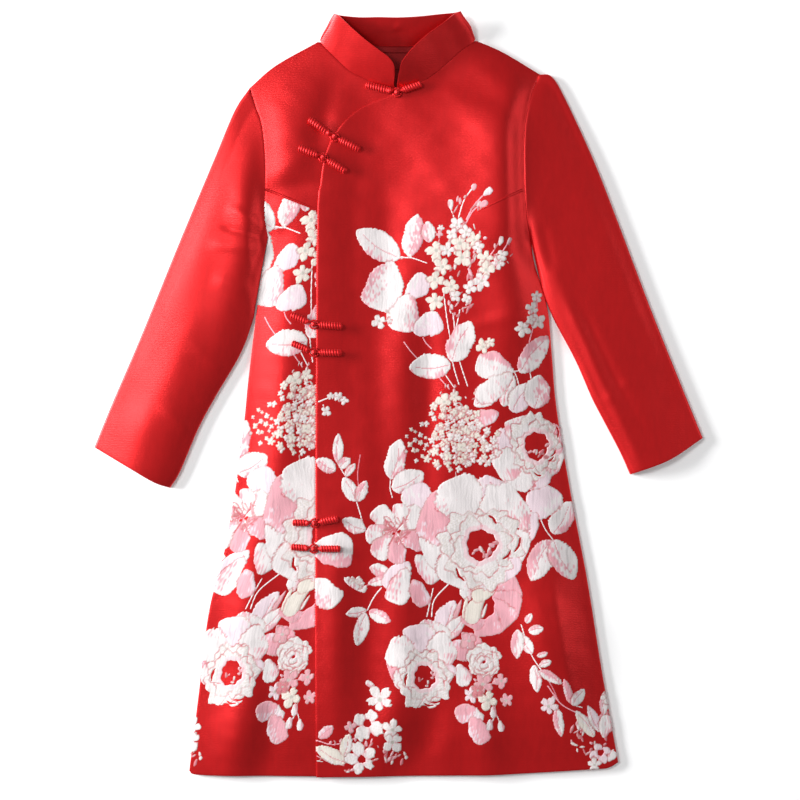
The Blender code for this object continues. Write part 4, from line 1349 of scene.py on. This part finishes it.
# Round flowers: kind, x, y, size, then what the kind's function takes after the seed.
FLOWERS = [
    ("side", 108, -262, 50),
    ("half", -58, -248, 17, 60),
    ("open", -3, -176, 40),
    ("peony", 165, -74, 50, 1.18, 0.36, 0.30, (0.22, 0.16)),
    ("peony", 98, -176, 75, 1.02, 0.30, 0.25, (0.10, -0.22)),
    ("peony", 30, -340, 51, 1.12, 0.34, 0.26, (0.06, -0.42)),
    ("rose", 109, -342, 23, 0.95, 0.30),
]
FLOWER_KINDS = {
    "side": side_flower,
    "half": half_flower,
    "open": open_flower,
    "peony": peony,
    "rose": rose,
}

# Small blossoms: x, y, size, tone. The last is a single cell.
BLOSSOMS = [
    (-25, 93, 10, "white"), (-12, 93, 4, "white"), (48, 183, 14, "cream"), (74, 215, 10, "white"),
    (78, 192, 14, "cream"), (62, 183, 10, "white"), (81, 174, 12, "cream"), (96, 196, 10, "cream"),
    (101, 187, 8, "white"), (56, 162, 12, "cream"), (46, 146, 12, "cream"), (86, 206, 9, "white"),
    (67, 204, 8, "white"), (127, 167, 10, "white"), (131, 176, 8, "white"), (111, 172, 11, "cream"),
    (111, 158, 11, "cream"), (106, 144, 12, "white"), (90, 135, 9, "white"), (67, 137, 12, "cream"),
    (72, 124, 8, "white"), (47, 119, 12, "cream"), (86, 121, 7, "white"), (54, 212, 5, "white"),
    (52, 203, 5, "pink"), (176, 125, 8, "white"), (170, 108, 9, "white"), (158, 84, 11, "white"),
    (178, 92, 11, "white"), (168, 95, 7, "white"), (108, 60, 10, "cream"), (116, 66, 7, "cream"),
    (58, -10, 11, "cream"), (71, -4, 8, "cream"), (84, -22, 9, "cream"), (44, -16, 6, "cream"),
    (90, -315, 11, "pink"), (107, -370, 13, "pink"), (131, -366, 10, "pink"), (92, -384, 11, "lilac"),
    (114, -390, 13, "cream"), (137, -391, 9, "pink"), (101, -378, 8, "rose"), (191, -398, 12, "lilac"),
    (258, -458, 14, "lilac"), (250, -474, 9, "white"), (266, -388, 8, "white"),
    (-24, -390, 17, "white"), (-40, -420, 21, "white"), (-8, -428, 13, "white"), (-8, -444, 14, "white"),
    (-47, -466, 21, "white"), (-62, -424, 8, "pink"), (-76, -4, 7, "white"), (-70, -8, 6, "white"),
    (-86, -3, 5, "white"), (-93, -22, 7, "white"), (-20, 60, 0.5, "white"),
]

# Heads of blossoms: x, y, reach across and up, how many, size of each.
HEADS = [(80, -60, 45, 40, 84, 7.0), (62, -30, 28, 16, 14, 6.0), (24, -62, 17, 24, 16, 4.4)]

# Loose dabs: x, y, reach across and up, how many, size.
DABS = [
    (84, 206, 24, 46, 34, 9), (86, 156, 34, 14, 26, 10), (76, 112, 16, 14, 18, 8), (130, 180, 14, 22, 12, 6),
    (72, -6, 22, 16, 22, 6), (70, -60, 56, 48, 20, 5), (100, -350, 30, 36, 14, 9), (236, -440, 20, 26, 24, 9),
    (262, -440, 14, 40, 16, 9), (-60, -462, 44, 24, 34, 8), (-8, -466, 20, 12, 16, 10),
    (-2, -176, 12, 10, 10, 9),
]
# Round centres that show the ground: x, y, size. The last is drawn twice, for a pinker rim.
OPEN_CENTRES = [(-40, -420, 5), (-47, -466, 5), (258, -458, 4), (258, -458, 4)]


def draw_bouquet(canvas):
    for tone, *points in STEMS:
        stroke(canvas, points, STEM_WIDTH, TONES[tone][0])
    for index, row in enumerate(DABS):
        dabs(canvas, *row, 500 + 37 * index)
    for index, (*row, side) in enumerate(LEAVES):
        leaf(canvas, *row, 11 * index, side)
    for index, (*row, side) in enumerate(PETALS):
        petal(canvas, *row, 900 + 7 * index, 0.32, 0.3, 0.14, side, 0.3)
    for index, (kind, x, y, size, *more) in enumerate(FLOWERS):
        FLOWER_KINDS[kind](canvas, x, y, size, 60 + index, *more)
    for index, row in enumerate(BLOSSOMS):
        blossom(canvas, *row, 20 + index, 4 + index % 2)
    for index, row in enumerate(HEADS):
        cluster(canvas, *row, 700 + index)
    for x, y, size in OPEN_CENTRES:
        hole(canvas, x, y, size, int(abs(x)))


# Where the under front's cut of the design lies: it leans by LEAN, is STRETCH times as tall, and
# is pushed BOW towards the opening about BOW_Y.
LEAN, STRETCH = 0.16, 1.062
UNDER_SHIFT = (-188.5, 27.7)
BOW, BOW_Y, BOW_REACH = 22.0, -185.0, 70.0


def as_drawn(x, y):
    return x, y


def on_under_front(x, y):
    bow = BOW * near(y - BOW_Y, BOW_REACH)
    return x + LEAN * y + UNDER_SHIFT[0] + bow, STRETCH * y + UNDER_SHIFT[1]


def make_relief(name, canvas, rows, place, height, depth):
    """The canvas's figures as a raised mesh on the cloth. `rows` bounds the part taken in y,
    and `place` says where a cell of the canvas lies on the dress."""
    taken = (canvas.y >= rows[0]) & (canvas.y < rows[1] + CELL)
    x, y = place(canvas.x, canvas.y)
    woven = taken & (canvas.rise > SUNK)
    rise = np.full(canvas.rise.shape, SUNK)
    rise[woven] = np.minimum(canvas.rise[woven], np.clip(depth(x[woven], y[woven]), SUNK, HIGHEST))
    live = rise > 0
    rise[live] *= RELIEF
    quads = live[:-1, :-1] | live[:-1, 1:] | live[1:, 1:] | live[1:, :-1]
    quads &= taken[:-1, :-1] & taken[1:, :-1]
    row, column = np.nonzero(quads)
    first = row * rise.shape[1] + column
    corners = np.stack([first, first + 1, first + rise.shape[1] + 1, first + rise.shape[1]], axis=1)
    used, corners = np.unique(corners, return_inverse=True)
    x, y = x.ravel()[used], y.ravel()[used]
    points = np.column_stack([x, y, height(x, y) + rise.ravel()[used]])
    obj = new_piece(name, points, corners.reshape(-1, 4).tolist(), "flowers", slot="jacquard")
    # The colours hold the yarn's own colours and painted shade along edges and between ribs.
    yarn_and_painted_shade = obj.data.color_attributes.new("yarn_and_painted_shade", "FLOAT_COLOR", "POINT")
    colours = np.ones((len(used), 4))
    colours[:, :3] = canvas.colour.reshape(-1, 3)[used]
    yarn_and_painted_shade.data.foreach_set("color", colours.ravel())
    return obj


def depth_inside(left, right, bottom, border):
    """A function for the depth inside a panel, less a margin, from its border lines."""
    def depth(x, y):
        inside = ((x > np.interp(y, left[:, 1], left[:, 0]))
                  & (x < np.interp(y, right[:, 1], right[:, 0]))
                  & (y > np.interp(x, bottom[:, 0], bottom[:, 1])))
        away = distance_to(border[::2], x, y)
        return np.where(inside, away, -away) - FLOWER_MARGIN
    return depth


def make_flowers(under_border, over_border):
    left = dense_points(CLIP_STEP, SIDE_LEFT, ARMHOLE_LEFT)
    right = dense_points(CLIP_STEP, SIDE_RIGHT, ARMHOLE_RIGHT)
    opening = dense_points(CLIP_STEP, OPENING_EDGE)
    under_edges = np.vstack([under_border, dense_points(BORDER_STEP, OPENING_EDGE)])
    within = depth_inside(left, opening + (TUCK, 0), dense_points(CLIP_STEP, HEM_LEFT), under_edges)

    def under_depth(x, y):
        (x0, y0), (x1, y1) = DARTS[0][:2]
        under_dart = y0 + (x - x0) * (y1 - y0) / (x1 - x0) - y - DART_MARGIN
        return np.minimum(within(x, y), under_dart)

    over_depth = depth_inside(opening, right, dense_points(CLIP_STEP, HEM_RIGHT), over_border)
    canvas = Canvas(CANVAS_LOW, CANVAS_HIGH)
    draw_bouquet(canvas)
    low, high = CANVAS_LOW[1], CANVAS_HIGH[1]
    over = (as_drawn, over_top, over_depth)
    return [
        make_relief("flowers_under", canvas, (low, high), on_under_front, front_top, under_depth),
        make_relief("flowers_over_skirt", canvas, (low, BODICE_LOW), *over),
        make_relief("flowers_over_bodice", canvas, (BODICE_LOW, high), *over),
    ]


# ---------------------------------------------------------------- facing, darts

def make_facing():
    """A strip of lining inside the back of the neck, darkened as painted shade."""
    x = np.linspace(-FACING_REACH, FACING_REACH, 60)
    edge = Line(NECK_BACK, (0, -2 * SEAM_GAP)).dense(CLIP_STEP)
    top = np.interp(x, edge[:, 0], edge[:, 1])
    drop = FACING_DEPTH * (1 - 0.75 * (x / FACING_REACH) ** 4)
    y = top - shares(8, FACING_DEPTH)[:, None] * drop
    return shell("neck_facing_cloth", grid_of(x, y, LAYER + FACING_WALL), "lining", FACING_WALL,
                 ("back_neck_facing",), "lining")


def make_neck_tape():
    """The narrow tape over the back neck seam, from the facing up on to the collar, in the lining darkened as
    painted shade.
    """
    x = np.linspace(-TAPE_REACH, TAPE_REACH, 80)
    across = np.linspace(-1, 1, 9)[:, None]
    edge = Line(NECK_BACK).dense(CLIP_STEP)
    y = np.interp(x, edge[:, 0], edge[:, 1]) + np.where(across < 0, TAPE_BELOW, TAPE_ABOVE) * across
    z = TAPE_LEVEL + TAPE_CROWN * np.sqrt(1 - 0.9 * across ** 2) + 0.1 * ripple(x, y, 41, 12)
    shell("neck_tape", grid_of(x, y, z), "lining", TAPE_WALL, slot="lining")


def make_darts():
    """The stitched lips of the two bust darts."""
    parts = []
    along = np.linspace(0, 1, 60)[:, None]
    across = np.linspace(-1, 1, 7)[None, :]
    for start, end, height in DARTS:
        start, end, heading, length = heading_from(start, end)
        side = np.array([-heading[1], heading[0]])
        half = DART_HALF_WIDTH * (1 - along ** 2) ** 0.5 + 0.1
        x = start[0] + heading[0] * length * along + side[0] * half * across
        y = start[1] + heading[1] * length * along + side[1] * half * across
        bulge = DART_BULGE * (1 - along ** 2) ** 0.5 * np.sqrt(np.clip(1 - across ** 2, 0, 1))
        points = grid_of(x, y, height(x, y) + bulge - DART_SINK)
        parts.append((points.reshape(-1, 3), grid_faces(*x.shape)))
    return new_piece("dart_lips", *joined(parts), "jacquard", slot="jacquard")


# ---------------------------------------------------------------- the set

# In metres and watts. Lights: name, place, size, power.
LIGHTS = [
    ("key", (-3.6, 0.8, 1.05), (1.9, 0.8), 330),
    ("fill", (2.6, 0.5, 2.0), (1.6, 1.6), 15),
    ("satin_light", (-2.2, 0.95, 3.3), (0.9, 1.2), 75),
]
WORLD_STRENGTH = 0.24
TABLE_REACH, TABLE_Z, TABLE_GLOW = 4.0, -0.0005, 0.10
CAMERA_PLACE = (0.0017, -0.0077, 2.42)
LENS_MM, SENSOR_MM = 85, 36


def make_floor():
    material, _, shader = principled("white_table", (0.93, 0.93, 0.935), 0.7, 0.2)
    set_inputs(shader, {"Emission Color": (1, 1, 1, 1), "Emission Strength": TABLE_GLOW})
    mesh = bpy.data.meshes.new("table_top")
    corners = [(x * TABLE_REACH, y * TABLE_REACH, TABLE_Z)
               for x, y in ((-1, -1), (1, -1), (1, 1), (-1, 1))]
    mesh.from_pydata(corners, [], [(0, 1, 2, 3)])
    mesh.materials.append(material)
    put_in_scene("table_top", mesh)


def area_light(name, place, size, power):
    """A light that looks at the origin."""
    light = bpy.data.lights.new(name, "AREA")
    light.shape = "RECTANGLE"
    light.size, light.size_y = size
    light.energy = power
    obj = put_in_scene(name, light)
    obj.location = place
    x, y, z = place
    obj.rotation_euler = (math.atan2(math.hypot(x, y), z), 0, math.atan2(y, x) + math.pi / 2)


def make_lights():
    world = bpy.data.worlds.new("studio")
    world.use_nodes = True
    set_inputs(world.node_tree.nodes["Background"],
               {"Color": (1, 1, 1, 1), "Strength": WORLD_STRENGTH})
    bpy.context.scene.world = world
    for light in LIGHTS:
        area_light(*light)


def make_camera():
    camera = bpy.data.cameras.new("camera")
    camera.lens = LENS_MM
    camera.sensor_width = SENSOR_MM
    obj = put_in_scene("camera", camera)
    obj.location = CAMERA_PLACE
    bpy.context.scene.camera = obj


def main():
    scene = bpy.context.scene
    scene.view_settings.view_transform = "Standard"
    make_camera()
    make_lights()
    make_floor()
    back = make_back()
    under, over, under_border, over_border = make_fronts()
    sleeves = [make_sleeve(side) for side in SLEEVES]
    collar = make_collar()
    facing = make_facing()
    make_neck_tape()
    make_frogs()
    darts = make_darts()
    under_flowers, *over_flowers = make_flowers(under_border, over_border)


main()
